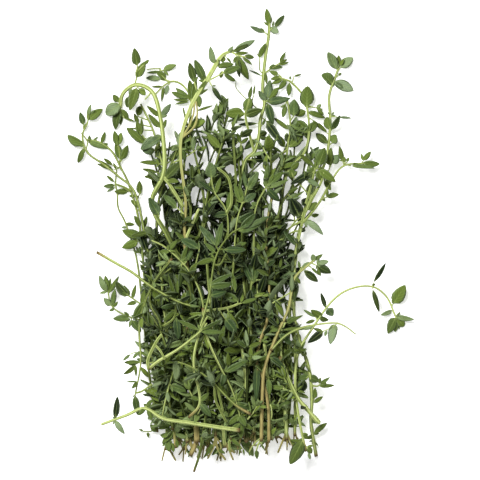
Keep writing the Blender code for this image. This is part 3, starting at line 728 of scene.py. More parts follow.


class Sprig:
    """One sprig as it grows: the skins of its stem and shoots, then of its leaves, for one mesh."""

    def __init__(self, name, seed):
        self.name = name
        self.rng = np.random.default_rng(SPRIG_SEED + seed)
        self.points, self.faces, self.blade, self.grown, self.slots = [], [], [], [], []
        self.wants, self.total = [], 0

    def add(self, skin, blade, grown, slot):
        """Adds a skin with its places on the blade, its colour values and its material's slot."""
        points, quads, tris = skin
        self.points.append(points)
        self.faces += (quads + self.total).tolist() + (tris + self.total).tolist()
        self.blade.append(blade)
        self.grown.append(grown)
        self.slots += [slot] * (len(quads) + len(tris))
        self.total += len(points)

    def rod(self, path, halves, fresh, cut, tone_and_shade, around=TWIG_SIDES, roll=0.0):
        """A stem: its radius round the axis is (cos^4 + sin^4) to the power -1/4, a rounded square."""
        ahead, above, beside = path_axes(path, roll)
        angle = 2 * np.pi * np.arange(around) / around
        radius = (np.cos(angle) ** 4 + np.sin(angle) ** 4) ** -0.25
        spoke = (np.cos(angle) * radius)[:, None] * above[:, None]
        spoke = spoke + (np.sin(angle) * radius)[:, None] * beside[:, None]
        rings = path[:, None] + halves[:, None, None] * spoke
        skin = shells(rings[None], path[:1] - CUT_ROUND * ahead[:1], path[-1:] + halves[-1] * ahead[-1:])
        along = lengths(path)
        tone_and_shade = np.broadcast_to(tone_and_shade, len(path))
        fresh = np.broadcast_to(fresh, len(path))
        grown = np.column_stack([np.append(np.repeat(tone_and_shade, around), (tone_and_shade[0], tone_and_shade[-1])),
                                 np.append(np.repeat(fresh, around), (fresh[0], fresh[-1])),
                                 np.append(np.repeat(cut * np.exp(-along / CUT_BROWN), around), (cut, 0.0))])
        # 1 at the rounded square's corners and 0 between them: the corners are painted paler, partly as the
        # stem's ridges, partly as highlights along it.
        ridge_and_highlight = np.append(np.tile(np.arange(around) % 2, len(path)), (0, 1))
        blade = np.column_stack([ridge_and_highlight, np.append(np.repeat(along, around), (0, along[-1]))])
        self.add(skin, blade, grown, 0)

    def pairs(self, path, at, size, lean, light, tone, young):
        """Wants a pair of leaves at each place on an axis, each a quarter turn from the one before."""
        rng, count = self.rng, len(at)
        root, ahead, above = (sampled(at, lengths(path), values) for values in (path, *path_axes(path)[:2]))
        ahead = unit(ahead)
        quarter = 0.5 * np.pi * (np.arange(count) % 2)
        angle = rng.uniform(0, ANY_TURN) + quarter + rng.uniform(-TURN_SPREAD, TURN_SPREAD, count)
        outward = unit(turned(above, ahead, angle))
        both = np.concatenate([outward, -outward])
        length = np.tile(size, 2) * rng.uniform(*LONG_SPREAD, 2 * count)
        lean = np.tile(np.broadcast_to(lean, count), 2)
        want = {
            "root": np.tile(root, (2, 1)) + LEAF_OUT * both,
            "axis": np.tile(ahead, (2, 1)),
            "outward": both,
            "lean": lean + rng.uniform(-LEAN_SPREAD, LEAN_SPREAD, 2 * count),
            "light": light + rng.uniform(-LIGHT_SPREAD, LIGHT_SPREAD, 2 * count),
            "length": length,
            "width": length * rng.uniform(*LEAF_WIDE, 2 * count),
            "tone": tone + rng.normal(0, TONE_SPREAD, 2 * count),
            "youth": young + rng.normal(0, YOUTH_SPREAD, 2 * count) + TINY_YOUTH * (length < TINY_LEAF),
        }
        self.wants.append(want)
        return want

    def shoot(self, room, root, axis, outward, long, size, tone, young):
        """Grows a side shoot out of an axil, if there is room for it.

        It bends from leaning out of its stem to run along it: its path is the root plus its length times
        the share of the way times the first direction, plus half that share squared times the change.
        """
        rng = self.rng
        start = unit(SHOOT_FROM[0] * axis + SHOOT_FROM[1] * outward + SHOOT_LIFT)
        sway = rng.normal(0, SHOOT_SWAY, 3)
        finish = unit(axis + SHOOT_TO * outward + sway + np.array((0, 0, rng.uniform(*SHOOT_RISE))))
        step = np.linspace(0, 1, SHOOT_STEPS)[:, None]
        twig = root - SHOOT_ROOT * outward + long * (step * start + 0.5 * step**2 * (finish - start))
        if room.busy(twig[None, 3:])[0]:
            return
        room.fill(twig[2:])
        self.rod(twig, np.linspace(*SHOOT_HALF, len(twig)), 1.0, 0.0, tone + 0.3)
        total = lengths(twig)[-1]
        at = spots(min(2.0, 0.4 * total), total - 0.6, *SHOOT_LEAVES, rng)
        at = np.append(at, (total - 0.3, total))
        grade = np.linspace(0.8, 0.45, len(at))
        self.pairs(twig, at, size * grade, 0.3 + 0.6 * grade, 0.3, tone, young + 0.2)

    def leaf(self, root, tip, width, tilt, tone, young, shape=LARGE_BLADE):
        """One leaf from root to tip, its face turned by tilt from straight up."""
        out = unit(tip - root)
        side = unit(np.cross(out, (0, 0, 1.0)))
        face = np.cos(tilt) * np.cross(side, out) + np.sin(tilt) * side
        one = (root[None], out[None], face[None], np.array([np.linalg.norm(tip - root)]), np.array([width]))
        room.fill(blade_samples(*one)[..., None, :] + UPWARD[::3])
        self.set_leaves(*one, np.array([tone]), np.array([young]), shape)

    def set_leaves(self, root, out, face, length, width, tone, youth, shape):
        """Adds leaves, each folded and curled a little in its own way, and lifted clear of the table."""
        count = len(root)
        fold, curl, belly = (self.rng.uniform(*limits, count) for limits in (FOLD, CURL, BELLY))
        rings, root, end = shape.grow(root, out, face, length, width, fold, curl, belly)
        sunk = ((CLEAR - rings[..., 2]) / shape.places[:, None]).max(axis=(1, 2))
        lift = np.maximum(np.maximum(sunk, CLEAR - end[:, 2]), 0)
        rings[..., 2] += lift[:, None, None] * shape.places[:, None]
        end[:, 2] += lift
        rows = len(shape.places)
        over = np.append(np.tile(0.5 + 0.5 * shape.across, rows), (0.5, 0.5))
        down = np.append(np.repeat(shape.places, len(shape.across)), (0.0, 1.0))
        under = np.append(np.tile(shape.under, rows), (0.5, 0.5))
        blade = np.tile(np.column_stack([over, down]), (count, 1))
        tone, youth = (np.repeat(np.clip(values, 0, 1), len(over)) for values in (tone, youth))
        self.add(shells(rings, root, end), blade, np.column_stack([tone, youth, np.tile(under, count)]), 1)

    def build(self, room, allow):
        """Settles the wanted leaves and makes the mesh of the whole sprig."""
        if self.wants:
            want = {key: np.concatenate([each[key] for each in self.wants]) for key in self.wants[0]}
            out, face, done = settle(room, want, allow)
            kept = {key: value[done] for key, value in want.items()}
            small = kept["length"] < SMALL_LEAF
            for shape, at in ((LARGE_BLADE, ~small), (SMALL_BLADE, small)):
                if at.any():
                    sizes_and_looks = (kept[key][at] for key in ("length", "width", "tone", "youth"))
                    self.set_leaves(kept["root"][at], out[at], face[at], *sizes_and_looks, shape)
        points = np.concatenate(self.points)
        points[:, 2] = np.maximum(points[:, 2], LOWEST)
        mesh = bpy.data.meshes.new(self.name)
        mesh.from_pydata((points * MM).tolist(), [], self.faces)
        corners = np.empty(len(mesh.loops), np.int32)
        mesh.loops.foreach_get("vertex_index", corners)
        mesh.uv_layers.new(name="blade").uv.foreach_set("vector", np.concatenate(self.blade)[corners].ravel())
        grown = np.concatenate(self.grown)
        grown = np.column_stack([grown, np.ones(len(grown))])
        mesh.attributes.new("grown", "FLOAT_COLOR", "POINT").data.foreach_set("color", grown.ravel())
        mesh.materials.append(stem_finish.material)
        mesh.materials.append(leaf_finish.material)
        mesh.polygons.foreach_set("material_index", np.array(self.slots, np.int32))
        mesh.shade_smooth()
        piece = bpy.data.objects.new(self.name, mesh)
        bpy.context.scene.collection.objects.link(piece)
        return piece


order = [name for name, *_ in plan]
room = Room()
thickness = np.array([(x, 0, z) for x in (-0.4, 0, 0.4) for z in (-0.35, 0, 0.35)])
for path, *_ in laid.values():
    room.fill(smooth_route(path, 0.5)[:, None] + thickness)

STALK_GAP = (0.6, 6.0)  # mm between a leaf and its stem that a thin stalk crosses
STALK_HALF = (0.26, 0.18)
STALK_STEPS = 6
STALK_BACK = 1.2  # of the gap, how far back along the leaf the stalk leaves the stem
TWIG_LOW = 0.5  # mm, no listed twig is lower
DRY = 0.3  # how green a dry twig still is
SET_TILT = 0.45
SET_RISE = (-0.1, 0.3)  # of a leaf's length
SET_LOW = 0.6  # mm, no tip is lower
SET_WIDER = 1.12
COLLAR = 0.5  # chance of a small leaf on each side of a broad one's foot
COLLAR_FROM = 1.4  # mm, the width of a broad leaf
COLLAR_LONG = (1.2, 2.6)
COLLAR_WIDE = 0.4
COLLAR_TURN = (0.5, 1.2)


def nearest(rods, place):
    """The point of the rods that is nearest to a place as seen from above, and how far away it is."""
    apart = np.hypot(*(rods[:, :2] - place).T)
    return rods[apart.argmin()], apart.min()


def set_twigs(sprig, rods, twigs, tone_and_shade):
    """Twigs listed one by one: route, width, rise for each mm of the way, and a word for those that are dry.

    Each starts at the nearest stem or twig. All the rods' points are given back.
    """
    for points, thick, slope, *dry in twigs:
        ground = np.array(points) - MIDDLE
        away = np.append(0, np.cumsum(np.hypot(*np.diff(ground, axis=0).T)))
        foot, _ = nearest(rods, ground[0])
        ground[0] = foot[:2]
        twig = smooth_route(np.column_stack([ground, np.maximum(foot[2] + slope * away, TWIG_LOW)]), 1.0)
        room.fill(twig[1:, None] + UPWARD)
        sprig.rod(twig, np.linspace(0.5 * thick, 0.4 * thick, len(twig)), DRY if dry else 1.0, 0.0, tone_and_shade)
        rods = np.concatenate([rods, twig])
    return rods


def set_by_hand(sprig, rods, leaves, tone_and_shade, youth):
    """Leaves listed one by one: root x and y, tip x and y, width and tone, and for some their youth and tilt.

    One that stands off its stem gets a thin stalk, and a broad one may have a small leaf on each side.
    """
    rng = sprig.rng
    for row in leaves:
        unsaid = (youth, rng.uniform(-SET_TILT, SET_TILT))
        x0, y0, x1, y1, wide, shade, fresh, tilt = (*row, *unsaid[len(row) - 6:])
        root, end = np.array((x0, y0)) - MIDDLE, np.array((x1, y1)) - MIDDLE
        ahead = unit(end - root)
        foot, gap = nearest(rods, root)
        base = np.array((*root, foot[2] + 0.1))
        if STALK_GAP[0] < gap < STALK_GAP[1]:
            foot, _ = nearest(rods, root - STALK_BACK * gap * ahead)
            stalk = foot + np.linspace(0, 1, STALK_STEPS)[:, None] * (base - foot)
            sprig.rod(stalk, np.linspace(*STALK_HALF, len(stalk)), 1.0, 0.0, tone_and_shade)
            rods = np.concatenate([rods, stalk])
        rise = rng.uniform(*SET_RISE) * np.hypot(*(end - root))
        tip = np.array((*end, max(SET_LOW, base[2] + rise)))
        sprig.leaf(base, tip, SET_WIDER * wide, tilt, shade, fresh)
        for hand in (-1, 1):
            if wide > COLLAR_FROM and rng.uniform() < COLLAR:
                turn = hand * rng.uniform(*COLLAR_TURN)
                small = rng.uniform(*COLLAR_LONG)
                way = ahead @ np.array(((math.cos(turn), math.sin(turn)), (-math.sin(turn), math.cos(turn))))
                tip = base + small * np.array((*way, rng.uniform(0, 0.4)))
                sprig.leaf(base, tip, COLLAR_WIDE * small, rng.uniform(-0.5, 0.5), shade + 0.1, fresh + 0.35,
                           SMALL_BLADE)


LEAF_LONG = 7.2  # mm, a full leaf
STEM_TAPER = 0.4
FIRST_JOINT = (0.5, 3)  # mm past the place where leaves start
LAST_JOINT = 1.5  # mm before the place where they end
JOINT_SWELL, JOINT_LONG = 0.25, 0.8  # how much wider a stem is at a joint, and over how many mm
TONE_AND_SHADE_AT = (0, 0.3, 0.7)  # shares of a stem: as light as at its foot, still so, and as at its tip
STEM_TWIST = 0.6  # radians from foot to tip
KNOTS = (0.0, 0.5, 1.0)
SIZE_ALONG = ((0, 0.1, 0.25, 1), (0.65, 0.8, 1.0, 0.85))  # shares of the stem, and leaf sizes there
LEAN_ALONG = ((0, 0.04, 0.12, 1), (2.4, 1.5, 0.75, 0.55))  # the lowest leaves hang back
TUFT_PLACES, TUFT_SIZES, TUFT_LEANS = np.array(((0.4, 0.9, 1.2), (0.62, 0.5, 0.35), (1.0, 0.7, 0.4)))
TIP_PLACES, TIP_SIZES, TIP_LEANS = np.array(((2.2, 1.0, 0.2), (0.85, 0.65, 0.45), (0.9, 0.7, 0.4)))
SHOOT_LONG = (0.4, 1.0)
SHOOT_SIZE = 0.92


def leaf_out(sprig, path, at, size, tufts, shoots, reach, tone, young, light):
    """Wants the leaves of the joints `at`, with a side shoot or a tuft of small leaves in some axils."""
    rng = sprig.rng
    reached = at / lengths(path)[-1]
    tones, youths = np.interp(reached, KNOTS, tone), np.interp(reached, KNOTS, young)
    main = sprig.pairs(path, at, size * LEAF_LONG * np.interp(reached, *SIZE_ALONG),
                       np.interp(reached, *LEAN_ALONG), light, np.tile(tones, 2), np.tile(youths, 2))
    for k in range(2 * len(at)):
        axis, outward, root = main["axis"][k], main["outward"][k], main["root"][k]
        shade, fresh = tones[k % len(at)], youths[k % len(at)]
        if rng.uniform() < shoots:
            long = reach * rng.uniform(*SHOOT_LONG)
            sprig.shoot(room, root, axis, outward, long, size * LEAF_LONG * SHOOT_SIZE, shade, fresh)
        elif rng.uniform() < tufts:
            stub = root + np.linspace(0, 1.2, 4)[:, None] * unit(axis + 0.8 * outward)
            sprig.pairs(stub, TUFT_PLACES, size * LEAF_LONG * TUFT_SIZES, TUFT_LEANS, light, shade,
                        fresh + 0.15)


# By default a sprig's leaves are painted darker and duller halfway along, where it lies in the body of the
# bunch: painted shade.
def grow(name, leafy=(0.0, 1.0), step=(8.0, 4.0), size=1.0, tufts=0.6, shoots=0.4, reach=8.0,
         tone=(1.3, -0.5, 0.5), young=(1.1, -0.25, 0.4), thin=0.85, light=0.35, woody=(0.0, 0.02),
         tone_and_shade=(0.0, 0.65), leaves=(), twigs=(), allow=1, gauge=None):
    """Grows the sprig of that name along its route.

    Leaves stand over the share `leafy` of its length, and crowd its tip if that ends at 1. Joints are a
    `step` apart at first and last. A joint's axils hold a tuft with the chance `tufts`, and a shoot with
    the chance `shoots`, up to `reach` mm long. Tone and youth are given at the cut end, halfway and at
    the tip. Bark turns green between the two shares `woody`, and `tone_and_shade` says how light the stem
    is, low and high. Its width tapers evenly, or follows `gauge`, pairs of a share and mm. `leaves` and
    `twigs` are given one by one. `allow` is how many points of a leaf may be where something stands already.
    """
    path, width, tint = laid[name]
    sprig = Sprig(name + "_sprig", order.index(name))
    rng = sprig.rng
    along = lengths(path)
    total = along[-1]
    share = along / total
    at = spots(leafy[0] * total + rng.uniform(*FIRST_JOINT), leafy[1] * total - LAST_JOINT, *step, rng)
    halves = 0.5 * thin * width * (1 - STEM_TAPER * share)
    if gauge:
        halves = 0.5 * np.interp(share, *np.transpose(gauge))
    if len(at):
        halves = halves * (1 + JOINT_SWELL * np.exp(-((along[:, None] - at) / JOINT_LONG) ** 2).max(axis=1))
    sprig.rod(path, halves, np.interp(share, woody, (0, 1)), 1.0,
              np.interp(share, TONE_AND_SHADE_AT, (tone_and_shade[0], *tone_and_shade)), STEM_SIDES,
              rng.uniform(0, 0.8) + STEM_TWIST * share)
    rods = set_twigs(sprig, path, twigs, tone_and_shade[1])
    set_by_hand(sprig, rods, leaves, tone_and_shade[1], young[2])
    if len(at):
        leaf_out(sprig, path, at, size, tufts, shoots, reach, tone, young, light)
    if leafy[1] >= 1.0:
        sprig.pairs(path, total - TIP_PLACES, size * LEAF_LONG * TIP_SIZES, TIP_LEANS, light, tone[2],
                    young[2] + 0.1)
    piece = sprig.build(room, allow)
    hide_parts(name)
    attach(piece, "root")


# The bunch's outline. Leaves that grow by themselves keep inside it, and out of the small clearings
# among the tips and the notches down both sides, where the table shows through.
EDGE_AT = (-70.0, -63.0, -50.0, -30.0, -15.0, 0.0, 12.0, 25.0, 35.0, 46.0)
LEFT_EDGE = (-22.0, -32.0, -35.0, -36.5, -37.0, -37.0, -35.0, -30.0, -24.0, -9.0)
RIGHT_EDGE = (6.0, 19.0, 25.0, 19.5, 20.5, 21.0, 23.0, 26.0, 25.0, 14.0)
OUTLINE_SEED = 77
CLEARINGS = 150
CLEARING_X = (-33, 26)
CLEARING_FROM, CLEARING_RANGE, CLEARING_CROWD = 2, 46, 0.6  # more of them stand near the tips
CLEARING_REACH = (0.4, 1.1)
CLEARING_SHORT = 0.6  # clearings and notches are longer one way than the other
NOTCHES = (-66, 16, 2.8)  # first and last y, and the step
NOTCH_STRAY = (-1.5, 1.5)
NOTCH_REACH = (0.6, 1.9)
NOTCH_NARROW = 0.7
NOTCH_PROUD = -1.0  # how far outside the edge one may stand
NOTCH_DEEPEST = ((LEFT_EDGE, 1, 3.0), (RIGHT_EDGE, -1, 7.0))  # an edge, the way in, how far in

columns = [room.LOW[axis] + room.CELL * np.arange(room.taken.shape[axis]) + MIDDLE[axis] for axis in (0, 1)]
outside = ((columns[0][:, None] < np.interp(columns[1], EDGE_AT, LEFT_EDGE))
           | (columns[0][:, None] > np.interp(columns[1], EDGE_AT, RIGHT_EDGE)))
outline_dice = np.random.default_rng(OUTLINE_SEED)


def near(x, y, reach, narrow=1.0, short=1.0):
    """The room's columns in an ellipse: distances over and up, times narrow and short, within reach."""
    return (narrow * (columns[0][:, None] - x)) ** 2 + (short * (columns[1] - y)) ** 2 < reach**2


for _ in range(CLEARINGS):
    x = outline_dice.uniform(*CLEARING_X)
    y = CLEARING_FROM + CLEARING_RANGE * outline_dice.uniform() ** CLEARING_CROWD
    outside |= near(x, y, outline_dice.uniform(*CLEARING_REACH), short=CLEARING_SHORT)
for edge, inward, deepest in NOTCH_DEEPEST:
    notches = np.arange(*NOTCHES)
    for y in notches + outline_dice.uniform(*NOTCH_STRAY, len(notches)):
        x = np.interp(y, EDGE_AT, edge) + inward * outline_dice.uniform(NOTCH_PROUD, deepest)
        outside |= near(x, y, outline_dice.uniform(*NOTCH_REACH), narrow=NOTCH_NARROW)
room.roof[outside] = 0.0


# The fan of sprigs that bends out of the bunch's left side. They are soft young stems, held only by
# the weight on their lower halves, with their broad leaves set one by one.
grow("left_thin_arc", (0.02, 0.5), step=(5.5, 5.5), size=0.9, tufts=0.7, shoots=0.35, tone_and_shade=(0.4, 0.6),
    leaves=(
        (-37.7, 5.3, -34.5, 5.1, 1.1, 0.15), (-37, 4.2, -39.2, 4.2, 0.7, 0.9),
        (-36.8, 3.4, -33, 2.3, 1.0, 0.7), (-36.5, 16, -41.3, 15.8, 1.8, 0.1), (-41, 18, -45, 17.7, 1.4, 0.55),
        (-41, 17.3, -43.8, 15.8, 0.8, 0.6), (-41.2, 19, -43.9, 21.3, 0.9, 0.2),
        (-40.7, 23, -41.3, 25.4, 0.8, 0.3), (-31.7, -62.7, -33.3, -61.8, 0.6, 0.4, 0.6),
        (-30.2, -63, -30.2, -65, 0.9, 0.3, 0.5), (-27.3, -63, -29.4, -60.4, 1.6, 0.4, 0.5)),
    twigs=(
        (((-27.2, -62), (-29.5, -62.8), (-31.7, -62.7)), 0.5, -0.2),
        (((-41, 18.5), (-40.7, 21), (-40.5, 23)), 0.5, 0.1)))
grow("left_fan_inner", (0.02, 0.62), step=(5.5, 5.5), size=0.95, tufts=0.7, shoots=0.35, tone_and_shade=(0.3, 0.6),
    leaves=(
        (-39.3, 26.3, -40.5, 32, 2.4, 0.3), (-38.7, 26.2, -36.8, 31.3, 2.3, 0.35, 0.4),
        (-40.3, 31, -41.4, 36, 1.9, 0.5, 0.6), (-39.9, 31, -39, 35.3, 1.8, 0.5, 0.7),
        (-45.5, 31.5, -44.3, 35.7, 1.3, 0.3), (-45, 31, -43.2, 31.6, 1.1, 0.4),
        (-50, 32.5, -43, 30.3, 2.0, 0.55), (-49.6, 32, -49.3, 34.5, 1.0, 0.5),
        (-48.5, 32.3, -46.7, 34.2, 0.7, 0.6), (-41.7, 24.5, -45, 26.7, 1.2, 0.15),
        (-41.3, 23, -47, 25, 1.1, 0.2), (-33, 15, -33, 19.5, 1.8, 0.2), (-33, 10.5, -35.8, 13.3, 1.6, 0.15),
        (-34, 14.3, -36.7, 14.6, 0.9, 0.2), (-33, 0.7, -38.7, 3.2, 2.6, 0.35, 0.5),
        (-33.5, -0.5, -38.6, -3, 2.6, 0.4, 0.6), (-32.5, 4, -34.6, 8, 1.6, 0.1),
        (-32, 3, -30.5, 8, 1.4, 0.15)),
    twigs=(
        (((-39.2, 25), (-39.3, 28), (-40, 31)), 0.6, 0.1),
        (((-34.5, 15.7), (-38, 17.3), (-40.7, 18.3)), 0.9, 0.05)))
grow("left_fan_outer", (0.02, 0.6),
    leaves=(
        (-51, 31.3, -57, 34, 2.8, 0.5, 0.5), (-49.8, 39.3, -45, 43.3, 2.5, 0.4, 0.5),
        (-51.3, 37.7, -52.5, 42, 1.8, 0.45, 0.1), (-49.9, 40.5, -49, 44.5, 1.2, 0.8),
        (-49.3, 41, -47.6, 42.8, 0.7, 0.8), (-51.5, 30, -53, 24.8, 1.7, 0.3),
        (-51.5, 36.3, -50.2, 38.5, 1.0, 0.9), (-47, 26.3, -42, 23.7, 0.9, 0.2)),
    twigs=(
        (((-49, 30.5), (-50, 32.3), (-52, 35)), 0.5, 0.05),))


# The sprigs that fork and arch at the upper left. Each is one soft stem with leaves in pairs, and the
# one that arches ends in a curled tip over the table.
grow("upper_left_fork", (0.02, 0.7),
    leaves=(
        (-33.5, 40.5, -32.6, 44.3, 2.0, 0.3), (-33.4, 38, -34.6, 41.5, 1.4, 0.1),
        (-32.5, 34, -33.8, 39, 2.0, 0.15), (-32, 34.5, -32.3, 40, 1.1, 0.2),
        (-31, 31.3, -37, 36.8, 2.3, 0.15), (-30.8, 31, -33.5, 35.5, 1.6, 0.5, 0.6),
        (-31.5, 36, -36.3, 37, 0.6, 0.2), (-28, 29.5, -32.5, 29.2, 2.4, 0.6, 0.0),
        (-27.8, 34, -32.4, 29.5, 2.5, 0.7, 0.0), (-27.5, 27.5, -27, 33, 1.6, 0.4, 0.6),
        (-26.5, 25, -33, 25.5, 1.5, 0.15), (-27, 22, -32.2, 23.6, 1.2, 0.15)))
grow("upper_left_arc", (0.02, 0.62), tone_and_shade=(0.0, 0.75), thin=0.9,
    leaves=(
        (-25.3, 55.8, -20.8, 57.5, 1.9, 0.75, 0.8), (-26, 52.7, -31, 53.8, 1.8, 0.85),
        (-24.3, 52.7, -27.4, 55.6, 2.0, 0.3, 0.4), (-26, 55.3, -30.6, 54.8, 0.9, 0.6),
        (-25.3, 50.4, -29, 50.3, 0.7, 0.2), (-25, 50.4, -25.8, 45.3, 1.0, 0.2),
        (-23.5, 51, -24.8, 47.5, 1.3, 0.9, 0.0), (-16.5, 46, -21.2, 50, 1.7, 0.5, 0.5),
        (-17, 46.5, -22.6, 48.4, 1.7, 0.5), (-16.5, 45.7, -22.3, 46, 0.9, 0.2),
        (-16.5, 45.3, -22, 45, 0.8, 0.25), (-16, 46, -16.2, 52.7, 2.1, 0.15),
        (-15.4, 45.5, -14.5, 52.7, 1.6, 0.2), (-17.3, -63.5, -17.2, -66, 0.7, 0.4, 0.5),
        (-15.3, -64, -16.8, -67.5, 0.6, 0.4, 0.5)),
    twigs=(
        (((-23.3, 52), (-25.3, 50.5), (-27.9, 47.8)), 0.55, 0.0),
        (((-26, 56), (-28.3, 56.3), (-30.5, 56)), 0.4, 0.0)))


# The tall sprigs of the middle and the upper right, longer in their joints, with paler broad leaves.
# They lie among the others and stand out past them at the top and right.
grow("tallest", (0.02, 0.62), tone_and_shade=(0.0, 0.75), thin=1.15,
    leaves=(
        (9.7, 70.5, 8.7, 76, 2.0, 0.3, 0.5), (9.8, 71, 10.4, 73.2, 0.8, 0.4, 0.8),
        (11.3, 69.7, 14.8, 74.2, 1.6, 0.35, 0.1), (9.9, 69.8, 12.7, 68, 2.2, 0.9, 0.1),
        (10.6, 70, 11.2, 71.9, 0.6, 0.4), (8, 68.3, 6.5, 69.6, 0.8, 0.4, 0.5),
        (8, 68, 3.1, 70.3, 1.3, 0.7, 0.0), (6.4, 60, 8.5, 64.6, 1.7, 0.35, 0.5),
        (7, 54, 3, 55.9, 0.6, 0.6, 0.0), (8.3, 55.3, 8.7, 50.9, 0.9, 0.15),
        (1.5, 41.5, -4.8, 41.5, 3.5, 0.3, 0.6), (1.8, 41, 7.3, 42.7, 2.6, 0.1, 0.2),
        (2, 42, 3.3, 46.6, 3.0, 0.5, 0.5), (3, 46, 3.4, 50.4, 1.2, 0.3, 0.3), (4.4, 47.3, 4.8, 51, 0.7, 0.25),
        (8.7, 45.5, 6, 49, 1.8, 0.7, 0.0), (8.8, 46, 9.6, 52.5, 2.6, 0.65, 0.0),
        (9.5, 46, 12.7, 50, 2.0, 0.35, 0.5), (8.8, 45.2, 16.6, 46.4, 2.4, 0.55, 0.0),
        (9, 45, 10.8, 37.7, 2.4, 0.45, 0.0), (-1.3, 52, -5.3, 54, 1.2, 0.2),
        (9.5, 56.3, 14, 57.2, 1.6, 0.35, 0.2), (13, 58.3, 15, 61.8, 1.1, 0.4, 0.4),
        (12.7, 58, 15.7, 59.3, 0.9, 0.2), (12.7, 57.5, 16.2, 58.2, 0.9, 0.3),
        (5.9, 38.2, -1.2, 37.9, 1.1, 0.2, 0.0), (0.2, 33.8, 4.2, 36.1, 2.0, 0.05, 0.1),
        (-0.8, 32, -4.3, 31.3, 2.4, 0.15, 0.0), (5, 33, 1.2, 29.5, 2.0, 0.25, 0.1),
        (0.3, 31.5, -1.2, 35, 1.2, 0.3, 0.5), (0.3, 31.5, 2.8, 33.5, 1.2, 0.3, 0.5),
        (0.3, 31.5, 0, 26.8, 1.4, 0.25, 0.3), (5.3, 30, 8.6, 30.6, 1.3, 0.2, 0.1),
        (4, 26.2, 10, 26.3, 1.8, 0.05, 0.0), (5, 27.4, 9.9, 28, 1.3, 0.15, 0.1),
        (6.3, 34, 8.8, 35.5, 2.2, 0.05, 0.1), (6.3, 33.5, 9, 33.3, 1.2, 0.1, 0.1),
        (7.2, 37.5, 8.3, 40, 0.8, 0.2, 0.3), (8.5, 39, 14.2, 31, 2.4, 0.1, 0.0),
        (-4.2, 28.5, -0.1, 25.3, 2.6, 0.25, 0.0)),
    twigs=(
        (((1.3, 24.8), (0.4, 28), (0.3, 31.5)), 0.7, 0.05), (((9.3, 67), (8.6, 67.7), (8, 68.3)), 0.5, 0.1),
        (((7.5, 54), (6.4, 56), (6.4, 60)), 0.4, 0.1), (((9.5, 69), (10.5, 69.3), (11.3, 69.7)), 0.5, 0.1),
        (((1.5, 44), (-0.7, 49), (-1.3, 52)), 0.35, 0.1), (((8, 55), (10.5, 56.5), (13, 58)), 0.6, 0.1),
        (((4.8, 29), (3, 35), (1.8, 41), (3, 46)), 0.9, 0.05)))
grow("upper_right_inner", (0.02, 0.8),
    leaves=(
        (17.5, 40.5, 17.8, 46.4, 3.4, 0.55, 0.2), (16, 30.5, 20.6, 34.2, 3.1, 0.1),
        (14.8, 30.5, 11.6, 34.5, 2.2, 0.1), (15.3, 27.2, 20, 27.3, 0.8, 0.05),
        (16.4, 36, 10.3, 40.5, 1.3, 0.2), (15, 44.5, 14, 40, 1.6, 0.5), (16.3, 38, 20.3, 35.6, 0.9, 0.6, 0.5),
        (15, 23, 16.5, 25.5, 1.4, 0.3)),
    twigs=(
        (((15, 29.3), (12.5, 27.5), (10.3, 25.2)), 0.8, 0.0), (((16.3, 35), (18, 36.3), (20, 37)), 0.6, 0.1)))
grow("upper_right_hook", (0.02, 0.55), woody=(0.01, 0.07), tone_and_shade=(0.0, 0.75), thin=0.95,
    leaves=(
        (13.5, 53.5, 10, 52.7, 1.3, 0.25, 0.5), (14, 52.7, 10.3, 51.2, 1.3, 0.25, 0.5),
        (15.3, 52.5, 12.7, 49.3, 1.6, 0.3, 0.4), (12.7, 54.3, 9.6, 55.6, 1.5, 0.6, 0.8),
        (16.5, 52.5, 16.4, 53.9, 0.7, 0.9), (17.6, 53.6, 20.4, 54.8, 0.7, 0.3),
        (16.2, 51.7, 15.9, 47, 1.6, 0.4, 0.4), (21.8, 43.5, 22.1, 50.7, 4.1, 0.4, 0.5, 0.05),
        (21.7, 42.3, 17.9, 40.5, 2.3, 0.1), (22, 42, 28.5, 40.3, 1.7, 0.15),
        (25, 43.3, 26.9, 44.6, 1.1, 0.95, 0.6), (25, 43.2, 27.1, 42.6, 1.0, 0.6, 0.6),
        (25.3, 43, 27.5, 41, 1.0, 0.2), (23.5, 39.5, 28, 35.5, 1.0, 0.15),
        (22.4, 35.3, 18.3, 39, 3.3, 0.25, 0.3), (22.7, 35.4, 25, 39, 2.4, 0.25, 0.3),
        (22.3, 35.6, 22.6, 38, 1.0, 0.6, 0.9)),
    twigs=(
        (((17.2, 51.7), (17.5, 52.7), (17.6, 53.7)), 0.4, 0.1),
        (((21.7, 43.5), (23.5, 43.6), (25, 43.3)), 0.5, 0.05)))
grow("upper_right_tall", (0.02, 0.68), tone_and_shade=(0.6, 0.75), thin=0.95,
    leaves=(
        (31.7, 56, 28.7, 61.7, 2.9, 0.75, 0.3, 0.2), (32.9, 56.5, 37, 60.3, 3.0, 0.95, 0.3),
        (32.3, 57.5, 32.4, 60.7, 1.4, 0.25, 0.5), (32.8, 57.3, 34.2, 59.4, 1.1, 0.4, 0.9),
        (32, 57, 31.5, 59, 1.1, 0.5, 0.9), (30.3, 51, 27.3, 55, 3.1, 0.5, 0.3),
        (31, 52.3, 37.4, 48.7, 3.2, 0.95, 0.0, 0.1), (31, 51.7, 33.7, 49.7, 1.7, 0.6, 0.1),
        (32.2, 54, 33.3, 54.9, 0.7, 0.3), (29.9, 41, 31, 42.1, 0.6, 0.8), (29.7, 41, 28.7, 42, 0.6, 0.8),
        (30, 40.8, 31.4, 41, 0.6, 0.7), (32.3, 40.2, 36.8, 40.2, 0.9, 0.75, 0.0),
        (29.5, 36, 28, 40.5, 2.6, 0.25, 0.5, -0.4), (30, 36, 32.6, 41.4, 2.0, 0.3, 0.1),
        (15.5, -61, 19, -60.7, 1.0, 0.4, 0.5), (28.7, 31.5, 25, 35.6, 2.4, 0.15, 0.2),
        (30, 31.7, 31.7, 34.5, 2.9, 0.6, 0.6), (28.6, 35, 25.7, 38.5, 0.8, 0.1)),
    twigs=(
        (((30, 41), (31.2, 40.4), (32.3, 40.2)), 0.4, 0.1),))
